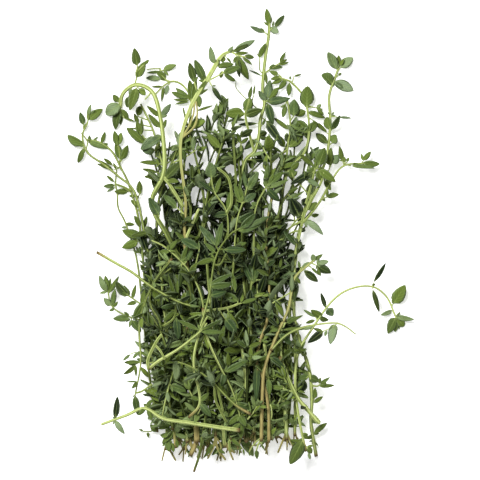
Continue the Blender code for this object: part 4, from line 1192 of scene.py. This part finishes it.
grow("right_reaching", (0.02, 0.5), tone_and_shade=(0.7, 0.75),
    leaves=(
        (36.3, 24.3, 44.2, 23.9, 1.2, 0.6), (40, 25.3, 45.9, 25, 2.1, 0.5, 0.5),
        (40.4, 26, 42.9, 29.1, 1.5, 0.4, 0.6), (34.3, 25.3, 34, 27.4, 1.0, 0.5, 0.7),
        (35, 25.5, 35.8, 27, 0.9, 0.5, 0.7), (33.6, 25.8, 32.9, 30.8, 1.7, 0.15),
        (36.5, 25, 38.9, 24.7, 0.9, 0.2), (28.4, 14, 32.3, 15, 1.7, 0.35), (27.5, 19.5, 29.8, 16.2, 1.6, 0.3),
        (28.3, 17, 30.1, 18.2, 1.0, 0.3), (27, 13.7, 27.9, 12.7, 0.9, 0.1),
        (23.3, 8, 25.9, 8.2, 1.3, 0.4, 0.4), (30, 25, 32.4, 28.1, 2.7, 0.7, 0.1),
        (29.3, 24.5, 29.5, 30.4, 1.9, 0.1)))


# The right side: a leafy sprig up the edge of the bunch, and a young one, nearly bare, that arches far
# out over the table and down again.
grow("right_edge", (0.03, 0.82), step=(5.0, 5.0), tufts=0.7, shoots=0.45, tone_and_shade=(0.75, 0.7),
    leaves=(
        (25.6, 23.2, 31.3, 18.8, 2.5, 0.4, 0.6), (25.3, 22.7, 26.8, 19.4, 2.6, 0.1),
        (24.4, 24, 18.9, 28, 1.7, 0.1), (25.5, 24.3, 28, 30.1, 3.7, 0.35, 0.3),
        (24.8, 24, 22.7, 21.7, 1.6, 0.3), (22, 19.7, 26, 17.2, 1.7, 0.7, 0.1),
        (23.6, 22, 16.4, 18.2, 2.1, 0.05, 0.0), (22.3, 9.7, 25.1, 12.5, 2.2, 0.2),
        (21.3, 6.3, 27.8, 2.6, 2.1, 0.95, 0.0), (19.5, 7.5, 16.4, 13.8, 3.9, 0.0, 0.0),
        (22.3, -44.7, 26, -46.1, 2.3, 0.4, 0.2), (22.3, -45, 18.9, -45.1, 2.0, 0.4, 0.2),
        (21.3, -45.7, 19.5, -50.6, 3.1, 0.0, 0.0), (25.7, -47.7, 30.8, -47.5, 1.2, 0.3),
        (26, -47.3, 29.6, -45, 1.2, 0.5), (25.9, -47, 26.3, -44.9, 0.9, 0.2),
        (26, -47.7, 28.4, -46.6, 1.3, 0.2), (24.3, -52, 24.5, -48.2, 1.5, 0.15),
        (24, -53.3, 27.1, -51, 1.3, 0.05), (24.1, -63.7, 28.3, -59.7, 1.7, 0.3),
        (24.1, -63.8, 22, -65.3, 1.3, 0.2), (23, -59.3, 25.8, -60, 1.1, 0.6),
        (24.2, -65.8, 25.8, -67.7, 0.5, 0.3), (24.2, -65.8, 22.5, -66, 0.5, 0.3),
        (13, 0, 17.8, 1.2, 1.2, 0.3), (17.5, 20.5, 16.5, 23.3, 2.5, 0.4), (16.5, 23, 19.5, 25, 2.0, 0.15),
        (17, 13.5, 21, 16, 0.8, 0.4), (15.5, 15, 19, 17.2, 1.4, 0.3)),
    twigs=(
        (((19.5, 5), (21, 10), (23, 17), (24.6, 23.5)), 0.85, 0.05),
        (((20.5, 5.5), (23, 8.3), (26.6, 13.2), (28.5, 17)), 0.8, 0.05),
        (((21.5, 9), (24, 14), (26.3, 18.3), (27.3, 21)), 0.8, 0.05),
        (((23.7, -56.5), (25, -58), (25.7, -59.6)), 0.7, 0.0),
        (((23, -47.5), (24.5, -47.8), (25.8, -47.6)), 0.7, 0.1),
        (((20, 6.5), (17, 4.5), (14.3, 2.2)), 0.7, 0.05), (((19.5, 3.5), (17, 2.5), (15, 0.8)), 0.6, 0.05),
        (((20.3, 8), (18, 6), (15.7, 3)), 0.6, 0.05)))
grow("right_arch", (0.2, 0.45), tone_and_shade=(0.85, 0.95), woody=(0.01, 0.06),
    leaves=(
        (43.7, -14, 47.6, -7.3, 1.5, 0.2, 0.0), (43.4, -16, 45.7, -23.8, 1.5, 0.15, 0.1),
        (50.2, -21, 54.4, -14.7, 3.7, 0.5, 0.7, 0.1), (50, -23, 46.1, -25, 1.4, 0.95),
        (51.3, -25.2, 57.4, -25.9, 1.8, 0.85), (51.2, -25.3, 48, -30.8, 3.0, 0.3, 0.3),
        (51.3, -25.6, 50.7, -30.2, 2.0, 0.25, 0.3), (51.6, -25.6, 54, -28.7, 2.2, 0.35, 0.5),
        (51.3, -25.6, 52.3, -29.3, 1.4, 0.4, 0.5), (43.2, -15, 44.3, -14.2, 0.8, 0.2),
        (28, -22.3, 26.4, -17.1, 1.3, 0.15, 0.0), (28.5, -22.3, 30.4, -24.8, 2.5, 0.5, 0.0),
        (26.8, -25.3, 23, -22.7, 2.1, 0.05), (25.8, -25.3, 29.1, -26, 1.7, 0.1, 0.2),
        (24.6, -25.2, 20.6, -22.7, 1.0, 0.7), (24.6, -26, 21.3, -27.3, 1.1, 0.35),
        (20.7, -65, 16.2, -73.4, 3.7, 0.25, 0.3, 0.1), (21.8, -67.5, 23.7, -69.7, 1.8, 0.1),
        (22.3, -69.3, 22.7, -71.7, 1.0, 0.8), (20, -65.7, 16.1, -65.3, 1.0, 0.15),
        (19.5, -67.7, 15.9, -65.4, 1.1, 0.2), (20, -68, 16.5, -70.1, 1.1, 0.2),
        (20.5, -63, 22.5, -65, 1.7, 0.15), (19.3, -59, 21.3, -61.3, 1.0, 0.7)))


# A pair of older, woody sprigs that cross low on the right, tan and light for most of their length.
# Bark covers the lower part of their stems, and they lie over most of the leafy ones.
grow("woody_crossing", (0.42, 1.0), step=(7.0, 5.0), tufts=0.5, woody=(0.32, 1.92), tone_and_shade=(0.4, 0.4),
    leaves=(
        (7.3, -33, 13, -25.3, 1.9, 0.35), (7.3, -33, 4.7, -32, 0.7, 0.5), (8, -30, 4, -28.4, 2.0, 0.6, 0.0),
        (5.6, -40.5, 5.2, -52.6, 2.4, 0.4, 0.0), (9.3, -45, 9.7, -50.5, 1.7, 0.5),
        (9.2, -53.7, 12.4, -54.9, 1.9, 0.4), (6, -41, 3, -38.8, 1.5, 0.3), (5.8, -39.5, 11, -37, 1.5, 0.3)))
grow("woody_bowed", (0.5, 0.8), woody=(0.24, 1.44), tone_and_shade=(0.6, 0.85), thin=0.9,
    leaves=(
        (20.8, -10, 25.8, -13.4, 2.4, 0.1, 0.1), (25, -8.3, 29.7, -11.8, 2.8, 0.25, 0.1),
        (25, -7.8, 29.1, -6.9, 1.7, 0.95, 0.2), (24, -6.6, 27.1, -4.6, 1.2, 0.55),
        (24.3, -7.2, 23.8, -4.5, 1.7, 0.8), (20.2, -8.7, 23.3, -7.6, 1.5, 0.9),
        (25.2, -8.8, 26.3, -11.9, 1.0, 0.35), (19.4, -9.3, 19.2, -6.8, 0.9, 0.5),
        (23.3, -9, 25.6, -11.6, 0.9, 0.15), (17.8, -12.7, 17.7, -19.7, 2.7, 0.1, 0.1),
        (18.2, -12, 19.8, -14.2, 1.3, 0.2), (15, -27, 20.7, -24.3, 1.1, 0.3),
        (15.3, -26.8, 18, -24.8, 1.9, 0.4, 0.3), (13.8, -29.3, 21.6, -27.8, 1.2, 0.25),
        (14, -28.5, 9.5, -29.7, 1.6, 0.4), (12.5, -30.5, 17, -33.8, 2.0, 0.45, 0.0),
        (9.5, -38, 14.8, -41.3, 1.9, 0.3, 0.0), (5.3, -68.3, 5.8, -71.4, 1.4, 0.5, 0.3),
        (7, -66.5, 8, -68.3, 0.6, 0.4, 0.4), (3, -69, 3.2, -70.3, 0.6, 0.2), (11.5, -20, 14.5, -25, 2.0, 0.1),
        (9, -21.5, 10.5, -26, 2.0, 0.5, 0.2)),
    twigs=(
        (((6.9, -64.5), (6, -66.5), (5.3, -68.5)), 0.6, -0.3),
        (((6.9, -64.5), (4.5, -66.5), (3, -69)), 0.5, -0.3)))


# The long sprigs of the upper left, laid late: one tall and pale, one that bends over into an arch.
# Both are thick green stems with wide gaps between their joints.
grow("upper_left_tall", (0.05, 0.42), step=(5.0, 7.0), woody=(0.4, 0.95), tone_and_shade=(0.0, 0.95),
    gauge=((0, 1.2), (0.7, 0.9), (0.8, 1.2), (0.88, 1.5), (0.95, 1.5), (1, 0.8)),
    leaves=(
        (-11.2, 51.5, -15, 58.8, 2.5, 0.4, 0.2), (-14.9, 51.5, -16.4, 58, 2.3, 0.15, 0.2),
        (-8.3, 57.3, -10.1, 63.1, 1.9, 0.75, 0.2), (-4, 61, -2.2, 63.4, 1.2, 0.85),
        (-2, 62, 5, 65.3, 2.0, 0.8, 0.1), (-2.5, 61.4, 2.7, 64.1, 1.4, 0.15, 0.2),
        (-2, 60.9, 2.9, 61.4, 1.1, 0.25, 0.4), (-1.2, 60, 3, 52.2, 2.5, 0.3, 0.4),
        (-1, 59.8, 0, 53, 1.6, 0.15, 0.1), (1.5, 60.3, 4.7, 59.5, 1.4, 0.35, 0.3),
        (0.8, 59.8, 4, 57.3, 1.1, 0.35, 0.4), (-5, 60, -6, 58, 1.4, 0.35, 0.6),
        (-4.4, 59.6, -2.9, 57.9, 0.7, 0.15), (-7.3, 56.8, -1.9, 57.5, 1.8, 0.4, 0.4),
        (-5.3, 54.4, 0.4, 56.2, 2.2, 0.4, 0.3), (-5.2, 54.2, -1.3, 51.9, 1.1, 0.25, 0.3),
        (-6, 55, -6, 52.6, 1.3, 0.2), (-9.2, 50.2, -5.9, 44, 1.5, 0.3, 0.0),
        (-13.5, 47.5, -10.7, 51.9, 1.7, 0.15), (-13.8, 47.3, -10.3, 49.3, 0.9, 0.2),
        (-13.8, 47.3, -13, 43, 1.9, 0.4), (-14.3, 42, -8.8, 43.9, 0.8, 0.15),
        (-10.5, 51.5, -12.9, 53.6, 1.0, 0.4), (-17, -1, -21, 2.8, 1.7, 0.3),
        (-17.3, -1.5, -13, 1.8, 1.6, 0.3), (-15.7, 4.5, -18.3, 9.5, 1.6, 0.4),
        (-15.7, 4.7, -12.8, 9, 1.6, 0.35), (-20.5, 10.5, -25, 15, 2.2, 0.5, 0.2),
        (-19.5, 29.5, -17, 25.5, 1.8, 0.5, 0.2)),
    twigs=(
        (((-10.3, 51), (-8.3, 53), (-5.3, 54.6)), 0.6, 0.05),
        (((-2.5, 61.5), (-0.3, 60.3), (1.8, 59.8)), 0.6, 0.0),
        (((-18.7, 33), (-16.7, 37), (-15.2, 41), (-14.8, 44.5)), 0.7, 0.05, "dry"),
        (((-18.7, 32.5), (-14.9, 37), (-13.9, 41.5), (-14.3, 45)), 0.7, 0.1, "dry"),
        (((-17.3, 0), (-15.5, 5.5), (-13.5, 10)), 1.0, 0.05)))
grow("left_arch", (0.05, 0.4), step=(5.0, 9.0), tufts=0.5, shoots=0.3, tone_and_shade=(0.0, 0.85), thin=1.35,
    woody=(0.01, 0.06),
    leaves=(
        (-33.7, 53, -31, 58.4, 2.5, 0.25, 0.5), (-33.6, 56.8, -34.4, 62.8, 2.7, 0.3, 0.3),
        (-31.5, 57.2, -29.6, 59.1, 1.0, 0.5, 0.6), (-33.7, 50, -36, 41.8, 3.0, 0.2, 0.4, 0.1),
        (-35.5, 49.7, -36.1, 46.8, 1.3, 0.9), (-33, 49.5, -30.9, 47.3, 1.8, 0.4, 0.7),
        (-36.3, 47, -37, 43.3, 1.9, 0.15, 0.2), (-39.1, 44.5, -44.2, 41.2, 3.7, 0.9, 0.2, 0.1),
        (-39.8, 45.2, -41.4, 47.8, 1.9, 0.2), (-39.3, 43, -36.6, 39.3, 2.0, 0.25),
        (-39.6, 42.5, -41.6, 36.4, 2.6, 0.2, 0.2), (-39.3, 42.3, -38.5, 37.3, 1.4, 0.15),
        (-38, 40, -34.3, 38.7, 0.8, 0.2), (-26.3, 40.2, -30.4, 43.8, 1.5, 0.2),
        (-25.8, 40, -22.5, 44.6, 1.8, 0.7, 0.0), (-26, 36.5, -30, 41, 1.8, 0.25),
        (-25.3, 36, -24, 39.5, 1.1, 0.15), (-25.5, 33.8, -32, 29.7, 2.6, 0.65, 0.0),
        (-26.3, 8, -30, 14, 2.9, 0.55, 0.0, 0.1), (-24.5, 20, -19.5, 25.3, 3.0, 0.1, 0.2),
        (-24, 19.5, -19.8, 18.7, 1.8, 0.05)),
    twigs=(
        (((-34, 50.8), (-34, 52.3), (-33.8, 53.6), (-33.6, 57)), 0.6, 0.15),
        (((-28.8, 48.7), (-29.7, 47.3), (-31, 46)), 0.6, 0.0),
        (((-24.8, 21), (-22.7, 17.7), (-18.5, 11)), 1.1, -0.05), (((-39.2, 44), (-39.3, 42)), 0.7, 0.0)))


# The loose sprigs over the middle. They were thrown on late, over the beds, so only a few cuttings lie
# on them and their leaves can be told one from another.
grow("centre_left_lean", (0.05, 0.72), step=(8.0, 6.0), tufts=0.4,
    leaves=(
        (-8.5, -66.5, -11.7, -69.4, 1.2, 0.3, 0.4), (-9.3, -68, -12, -71.2, 0.9, 0.1),
        (-7.3, -68.3, -4.8, -69.7, 1.0, 0.3, 0.3), (-9.4, 20, -9.7, 25.6, 3.5, 0.6, 0.2, 0.1),
        (-4, 8.3, -8.7, 8.4, 2.1, 0.3, 0.0), (-4.3, 10, -3, 15.5, 1.5, 0.3),
        (-8, 15.3, -13.8, 19.2, 1.4, 0.35, 0.0), (-8, 15, -6.3, 20.5, 1.4, 0.25),
        (-9, 20.5, -6, 27.8, 1.5, 0.6, 0.1)),
    twigs=(
        (((-4.3, 9), (-2.8, 12), (-2.9, 16.5), (-4, 20.5), (-7.2, 23.4)), 0.95, 0.15),
        (((-8, -63.5), (-8.6, -67.5), (-10.5, -71.3)), 0.8, -0.3, "dry"),
        (((-7.7, -64), (-7.3, -68), (-4.8, -71.8)), 0.9, -0.4, "dry"),
        (((-8, -63.6), (-6.3, -67), (-6.5, -70.5)), 0.6, -0.3, "dry")))
grow("centre_long", (0.05, 0.75), step=(8.0, 6.0), tufts=0.4,
    leaves=(
        (2.5, 16.3, 6.1, 22.3, 2.3, 0.6, 0.2), (2, 16.8, 0.9, 22.6, 1.5, 0.5, 0.1),
        (0.3, 12.3, -1.8, 18.5, 2.0, 0.4), (1.3, 12.8, -0.5, 18, 1.2, 0.25),
        (1.5, 12.3, 5.4, 15.4, 2.2, 0.6, 0.0), (-1, 6, 4.5, 8.5, 2.0, 0.45, 0.0), (0, 9, -2, 11.5, 0.7, 0.8),
        (2.7, 16.5, 3.6, 18.7, 0.9, 0.5, 0.6), (0, -67.5, 0, -70.5, 0.6, 0.2), (1, -68, 1.5, -70.3, 0.6, 0.2),
        (-3, -64, -0.5, -67.6, 1.2, 0.4, 0.5)),
    twigs=(
        (((-3, -64.5), (-3.5, -66), (-3.3, -69)), 0.9, -0.2),
        (((-3, -64), (-1, -65.8), (0.6, -68)), 0.6, -0.2)))
grow("centre_right_long", (0.05, 0.72), step=(8.0, 6.0), tufts=0.4,
    leaves=(
        (8.3, 17.2, 9.6, 24.5, 1.9, 0.55, 0.3), (8.8, 17.5, 14.2, 22.6, 2.2, 0.5, 0.3),
        (9.3, 16.9, 16.2, 19.6, 1.4, 0.6, 0.4), (9.2, 18.3, 11, 21.7, 1.2, 0.5, 0.7),
        (8.5, 17, 13, 12.5, 2.3, 0.35, 0.0), (5.3, 11, 3.5, 12.2, 1.6, 0.6),
        (4.2, -14, 3.2, -6.8, 1.7, 0.4, 0.0), (4, -14, 0.3, -6.3, 1.7, 0.35, 0.0),
        (4.6, -13.5, 5.5, -5.3, 2.6, 0.45, 0.1), (7, -13, 12.7, -14.6, 1.7, 0.6, 0.3),
        (3.5, -19, 8, -23.6, 1.3, 0.35), (3.7, -19, 0.8, -20.8, 1.3, 0.4),
        (4, -18.5, 8.5, -17, 1.0, 0.5, 0.8), (7.3, -18.3, 11, -17.4, 1.0, 0.5, 0.8)),
    twigs=(
        (((4, -14.5), (5, -13.2), (7, -13)), 0.6, 0.1), (((3.6, -19), (5.5, -18.5), (7.5, -18)), 0.6, 0.1)))
grow("left_swing", (0.12, 0.55), step=(8.0, 8.0), tufts=0.4, shoots=0.3, tone_and_shade=(0.3, 0.75),
    leaves=(
        (-19, -7.8, -28, -6.7, 2.0, 0.75, 0.0), (-17.4, -7, -15.2, -1.8, 1.8, 0.5, 0.1),
        (-18.8, -7, -17.3, -1.5, 1.6, 0.5), (-13.2, -3, -19.2, 0.6, 2.7, 0.5, 0.0),
        (-19, -8.7, -19, -16, 1.6, 0.25, 0.1), (-12, -21, -7.9, -25.3, 2.2, 0.4, 0.0),
        (-12.2, -20, -10, -19.6, 1.3, 0.5, 0.3), (-18.4, -7.3, -16.9, -6.7, 0.8, 0.7, 0.9),
        (-18.5, -7.3, -18.9, -5.8, 0.8, 0.7, 0.9), (-12.2, -19.7, -13.2, -14.5, 1.8, 0.2, 0.0),
        (-23, -4, -27, -3.7, 1.7, 0.3), (-23.5, -3.5, -20.5, 0, 1.7, 0.35),
        (-0.7, -20, -5.5, -17, 2.4, 0.5, 0.3), (0.5, -20.5, 5.5, -19, 1.4, 0.4, 0.4),
        (0.2, -20.3, 1.2, -17.6, 1.0, 0.4, 0.8), (-4.8, -25.5, -1.3, -30, 3.2, 0.4, 0.0, 0.1),
        (-3.8, -23.3, -0.5, -29, 1.5, 0.1)),
    twigs=(
        (((-8.5, -23.5), (-4, -22), (-0.7, -20.8)), 0.9, 0.35),))
grow("left_bare_curve", (0.05, 0.3), tone_and_shade=(0.55, 0.55), thin=0.95, woody=(0.02, 0.12),
    leaves=(
        (-21, -21, -25.7, -22.6, 1.7, 0.5, 0.1), (-20.7, -20.7, -15.8, -21.4, 1.0, 0.4, 0.2),
        (-20.9, -20, -20.3, -12, 1.4, 0.3), (-20.8, -20.5, -23, -10, 1.3, 0.3),
        (-20.3, -24, -14, -23.3, 1.2, 0.3, 0.0), (-20.8, -25, -20, -32.5, 2.4, 0.35, 0.0),
        (-20.5, -20.5, -17.8, -18.8, 1.2, 0.4, 0.4), (-21, -23, -25, -26.5, 1.8, 0.3),
        (-23.8, -65.5, -23.2, -69.3, 1.8, 0.5, 0.4), (-22.5, -66, -21.5, -69.4, 1.4, 0.2),
        (-20.8, -65, -20.2, -67.8, 1.2, 0.2), (-21.5, -62, -25.5, -66.5, 1.8, 0.4, 0.5),
        (-22, -60, -26.8, -62, 1.6, 0.5, 0.5)),
    twigs=(
        (((-27, -28), (-24, -27.5), (-21.3, -25), (-20.9, -20)), 0.8, 0.1),))
grow("front_down", (0.0, 0.3), tone_and_shade=(0.85, 0.7), woody=(0.01, 0.04),
    leaves=(
        (0, -57, -4.2, -60.2, 1.9, 0.3, 0.4), (0, -57, 2, -60.6, 2.2, 0.35, 0.3),
        (-0.2, -58, -3.5, -58.2, 1.2, 0.3), (0.2, -59.5, -3.7, -62.7, 1.7, 0.2),
        (0.3, -59, 0.3, -64.5, 2.2, 0.3, 0.3), (0.4, -59, 4, -62, 1.6, 0.25),
        (-1, -53, 4.2, -54.8, 1.8, 0.35, 0.1), (-4.9, -43, 2.6, -39, 2.0, 0.5, 0.2),
        (-5.2, -43, -6, -47.7, 1.9, 0.55, 0.1), (-1.6, -51.5, -4, -55.3, 1.7, 0.3),
        (-1.2, -52, 1.5, -48, 1.5, 0.2)))
grow("front_long", (0.5, 0.5), tone_and_shade=(0.9, 0.45), woody=(0.02, 0.1),
    leaves=(
        (-0.7, 2.9, 7.1, 5.3, 2.6, 0.45, 0.2), (0, 3.7, 5.1, 8.4, 2.4, 0.45, 0.1),
        (1.3, 3.6, 9.5, 7.7, 1.8, 0.6, 0.1), (-7.8, -2, -13.3, 4.8, 2.4, 0.6, 0.0),
        (-5.5, -3, 2.3, -3.6, 2.4, 0.45, 0.0), (-7.7, -2.5, -5.7, 6, 2.0, 0.5, 0.2),
        (-8, -4, -11.5, -0.8, 1.5, 0.45, 0.3), (-8.3, -6, -14.3, -8, 1.8, 0.3),
        (-13.2, -52.5, -10, -49.5, 1.6, 0.4), (-13.3, -52, -16, -50.8, 1.4, 0.5),
        (-13, -53, -9.3, -57.3, 2.3, 0.5, 0.1), (-10, -15, -2.2, -14.5, 2.1, 0.45, 0.2),
        (-10, -14.5, -2.4, -10.7, 1.6, 0.45, 0.2), (-9.8, -18, -4.4, -16.4, 2.6, 0.4, 0.0),
        (-1.5, -17, -2.5, -10.5, 1.4, 0.3)),
    twigs=(
        (((-8.3, -8.5), (-6.5, -8), (-4.5, -4.5)), 0.6, 0.1),))


# The low sprigs of the left side, whose tips hang out over the edge of the bunch. They are thin and
# green, and lie across the others.
grow("left_low_reach", (0.05, 0.5), tone_and_shade=(0.5, 0.6),
    leaves=(
        (-43.4, -17, -46.4, -11.9, 2.1, 0.85), (-43.1, -17, -43.7, -11.6, 1.7, 0.5, 0.5),
        (-42.9, -17, -42.3, -12.3, 1.0, 0.5, 0.5), (-43, -17.5, -39.7, -11.6, 1.5, 0.4, 0.4),
        (-42, -21.5, -44.5, -18.9, 1.8, 0.8), (-41.7, -21.7, -41, -15.6, 1.7, 0.55, 0.3),
        (-35.7, -25.7, -41.5, -25.9, 2.1, 0.55, 0.3), (-35.3, -26, -32.3, -30.2, 2.2, 0.5, 0.2),
        (-36, -25, -37.8, -23.4, 0.9, 0.5), (-41, -22.3, -42.6, -23.2, 1.0, 0.8, 0.6),
        (-41.5, -22, -39.8, -20.2, 1.0, 0.5, 0.5)))
grow("left_reach", (0.1, 0.75),
    leaves=(
        (-36, -18.3, -41, -13.6, 2.6, 0.1, 0.1), (-35.8, -18, -37.8, -14.6, 1.1, 0.4),
        (-36.5, -18, -38.6, -17.2, 1.3, 0.4, 0.4), (-35, -19.3, -34, -14.3, 1.2, 0.2),
        (-33.5, -20.3, -36.7, -20.8, 1.3, 0.2), (-32, -21.3, -31, -16, 1.5, 0.1)))
grow("left_drooping", (0.0, 0.55), tone_and_shade=(0.4, 0.75), woody=(0.01, 0.04),
    leaves=(
        (-32.4, -39.5, -37.8, -40, 1.3, 0.3), (-35.6, -37.1, -38.1, -39.2, 0.9, 0.7),
        (-34, -40.5, -37.3, -44.1, 1.5, 0.1), (-34, -40.5, -33.7, -44.5, 0.9, 0.15),
        (-33.4, -46, -37.1, -46.2, 0.6, 0.6), (-33.4, -46, -35.1, -48.4, 1.2, 0.3),
        (-34.2, -50.5, -33.4, -57.8, 2.0, 0.4, 0.1, 0.1), (-32.7, -36.3, -35, -38.5, 1.0, 0.7, 0.5)),
    twigs=(
        (((-32.3, -36.8), (-34, -36.5), (-35.6, -37.1)), 0.4, 0.05),
        (((-34, -50), (-32, -49.3), (-28.7, -47)), 0.7, 0.05)))


# Short cuttings, dropped across the bunch: bits of sprigs broken or cut off again, most of them nearly
# bare. Their cut ends are brown.
grow("cross_cutting", (0.62, 0.98), size=0.8, tone=(0.0, 0.0, 0.0), young=(0.0, 0.0, 0.0), tone_and_shade=(0.8, 0.6),
    thin=0.95, woody=(0.02, 0.14))
grow("right_thin", (0.5, 0.5), tone_and_shade=(0.7, 0.95), thin=0.9, woody=(0.01, 0.04),
    leaves=(
        (30.7, -27.5, 29.4, -34, 2.5, 0.95, 0.1, 0.1), (27.2, -29.6, 22, -33.6, 2.2, 0.05, 0.0),
        (27, -29.7, 23.8, -28.8, 1.0, 0.3), (28.3, -29.4, 27.6, -31.4, 0.9, 0.8),
        (24, -28, 20.4, -29.1, 1.1, 0.9)),
    twigs=(
        (((31.5, -27.5), (29.5, -28.7), (27, -29.7)), 0.4, 0.0),))
grow("low_right_shoot", (0.1, 1.0), tufts=0.5, shoots=0.2, tone_and_shade=(0.6, 0.9), gauge=((0, 1.0), (1, 1.2)),
    leaves=(
        (14, -48.5, 9.5, -47.5, 1.8, 0.3), (17, -52.5, 12.3, -54, 1.5, 0.3, 0.2)))
grow("low_left_shoot", (0.1, 1.0), step=(7.0, 5.0), tufts=0.5, shoots=0.2, tone_and_shade=(0.0, 0.8),
    woody=(0.01, 0.04),
    leaves=(
        (-22.5, -47.3, -17.5, -49.3, 2.3, 0.5, 0.2),))
grow("low_cutting", (0.45, 0.95), tufts=0.3, shoots=0.0, woody=(0.05, 0.3), tone_and_shade=(0.55, 0.55),
    twigs=(
        (((-8.3, -47), (-8, -51.5), (-6.5, -55), (-4.5, -59)), 0.9, -0.3),
        (((-7, -48), (-6.5, -51.5), (-5.5, -55.5)), 0.8, -0.3)))
grow("front_star", (0.5, 0.5), tone_and_shade=(0.9, 0.75), thin=1.0, woody=(0.01, 0.04),
    leaves=(
        (-13, -29.3, -20.2, -25.9, 1.4, 0.4, 0.3), (-12.7, -29.7, -5.2, -30.1, 1.7, 0.4, 0.3),
        (-12.7, -29.3, -5.9, -25.4, 1.2, 0.35, 0.2), (-13, -29, -13.8, -27, 0.7, 0.7, 0.8),
        (-12.5, -29.2, -9.7, -27.6, 0.9, 0.4, 0.5), (-28, -39.5, -25.8, -38.7, 1.7, 1.0, 0.0)),
    twigs=(
        (((-30.5, -43), (-29.7, -38.5), (-27.2, -33.2), (-25.4, -30.7)), 1.1, 0.2),
        (((-27.4, -33.5), (-25.6, -36), (-24.4, -38.5)), 0.8, 0.0),
        (((-13, -29.5), (-11.9, -27.2), (-10.6, -24.9)), 0.6, 0.15)))
grow("bottom_arc", (0.5, 0.5), tone_and_shade=(0.85, 0.95), thin=0.95, woody=(0.01, 0.04),
    leaves=(
        (-40.7, -58.3, -39.6, -50.9, 1.9, 0.1, 0.0), (-40.6, -58.6, -37.7, -63.3, 1.7, 0.95, 0.1),
        (-30.5, -54.3, -33, -57, 1.3, 0.4), (-30, -54.5, -28.8, -58.5, 1.4, 0.4),
        (-30.5, -54, -28.3, -51.5, 1.2, 0.4)))


# The sprigs inside the bunch, under the loose ones. Their leaves keep within its sides and below the
# stems that lie in view, and hollows between them let the light down. Dry scraps hang at their cut ends.
IN_VIEW = {"left_arch": 0.45, "upper_left_tall": 0.42, "bottom_arc": 0, "front_star": 0, "front_long": 0,
           "front_down": 0, "left_swing": 0.1, "right_arch": 0.3, "woody_bowed": 0, "woody_crossing": 0.02,
           "left_bare_curve": 0.4, "cross_cutting": 0, "centre_left_lean": 0.65, "centre_long": 0.6,
           "centre_right_long": 0.65, "right_edge": 0.5, "low_cutting": 0, "left_low_reach": 0.6,
           "left_reach": 0.6, "low_left_shoot": 0, "low_right_shoot": 0, "right_thin": 0, "left_drooping": 0}
BED_IN_VIEW = (0.06, 0.45)  # share of every second over sprig that is kept in view
HOLLOWS = 110
HOLLOW_X, HOLLOW_Y, HOLLOW_FLOOR = (-31, 17), (-56, 12), (2, 7)
HOLLOW_REACH, HOLLOW_SHORT = (0.7, 1.8), 0.45
SCRAP_SEED = 300
SCRAPS = 3
SCRAP_ASIDE, SCRAP_BEYOND = (-3.2, 3.2), (0.5, 4.5)  # mm to each side of the cut end, and past it
SCRAP_ABOVE = (0, 2.5)  # mm up the stem to where a scrap starts
SCRAP_SLOPE = -0.15

for name, bare in IN_VIEW.items():
    path = laid[name][0]
    room.lower(path[int(bare * len(path)):])
for number in range(0, OVER_BED, 2):
    path = laid[f"over_sprig_{number + 1:02d}"][0]
    first, last = (int(share * len(path)) for share in BED_IN_VIEW)
    room.lower(path[first:last])
for _ in range(HOLLOWS):
    x, y, floor = (outline_dice.uniform(*limits) for limits in (HOLLOW_X, HOLLOW_Y, HOLLOW_FLOOR))
    inside = near(x, y, outline_dice.uniform(*HOLLOW_REACH), short=HOLLOW_SHORT)
    room.roof[inside] = np.minimum(room.roof[inside], floor)


def scraps(name):
    """Dry brown strands at a cut end: they leave the stem just above it and trail past it to one side."""
    dice = np.random.default_rng(SCRAP_SEED + order.index(name))
    foot = laid[name][0][0][:2] + MIDDLE
    sides = dice.uniform(*SCRAP_ASIDE, SCRAPS)
    return [((foot + SCRAP_ABOVE, foot + (0.4 * side, 0), foot + (side, -beyond)), 0.5 + 0.1 * abs(side),
             SCRAP_SLOPE, "dry")
            for side, beyond in zip(sides, dice.uniform(*SCRAP_BEYOND, SCRAPS))]


for number in range(OVER_BED):
    name = f"over_sprig_{number + 1:02d}"
    # Halfway along, where they lie deep in the bunch, their leaves' tone and youth drop low: painted shade
    # that darkens the bunch's middle.
    grow(name, twigs=scraps(name), step=(4.5, 7.5), size=1.15, tufts=0.35, shoots=0.3, reach=10.0,
         tone=(1.6, -0.9, 0.8), young=(1.3, -0.4, 0.6), light=0.2, tone_and_shade=(0.85, 0.4))


# The sprigs under the rest. They fill the bunch from side to side, and little but their leaves shows.
# They are ordinary leafy sprigs too, with thinner stems, and their leaves may touch each other more.
for number in range(UNDER_BED):
    name = f"under_sprig_{number + 1:02d}"
    # Halfway along, deep in the bunch, their leaves' tone and youth drop lowest of all: painted shade for the
    # depths of the bunch.
    grow(name, twigs=scraps(name), step=(3.5, 4.2), size=1.25, tufts=0.5, shoots=0.7, reach=11.0,
         tone=(1.6, -1.1, 0.6), young=(1.3, -0.5, 0.5), light=0.3, thin=0.6, tone_and_shade=(0.6, 0.25), allow=4)
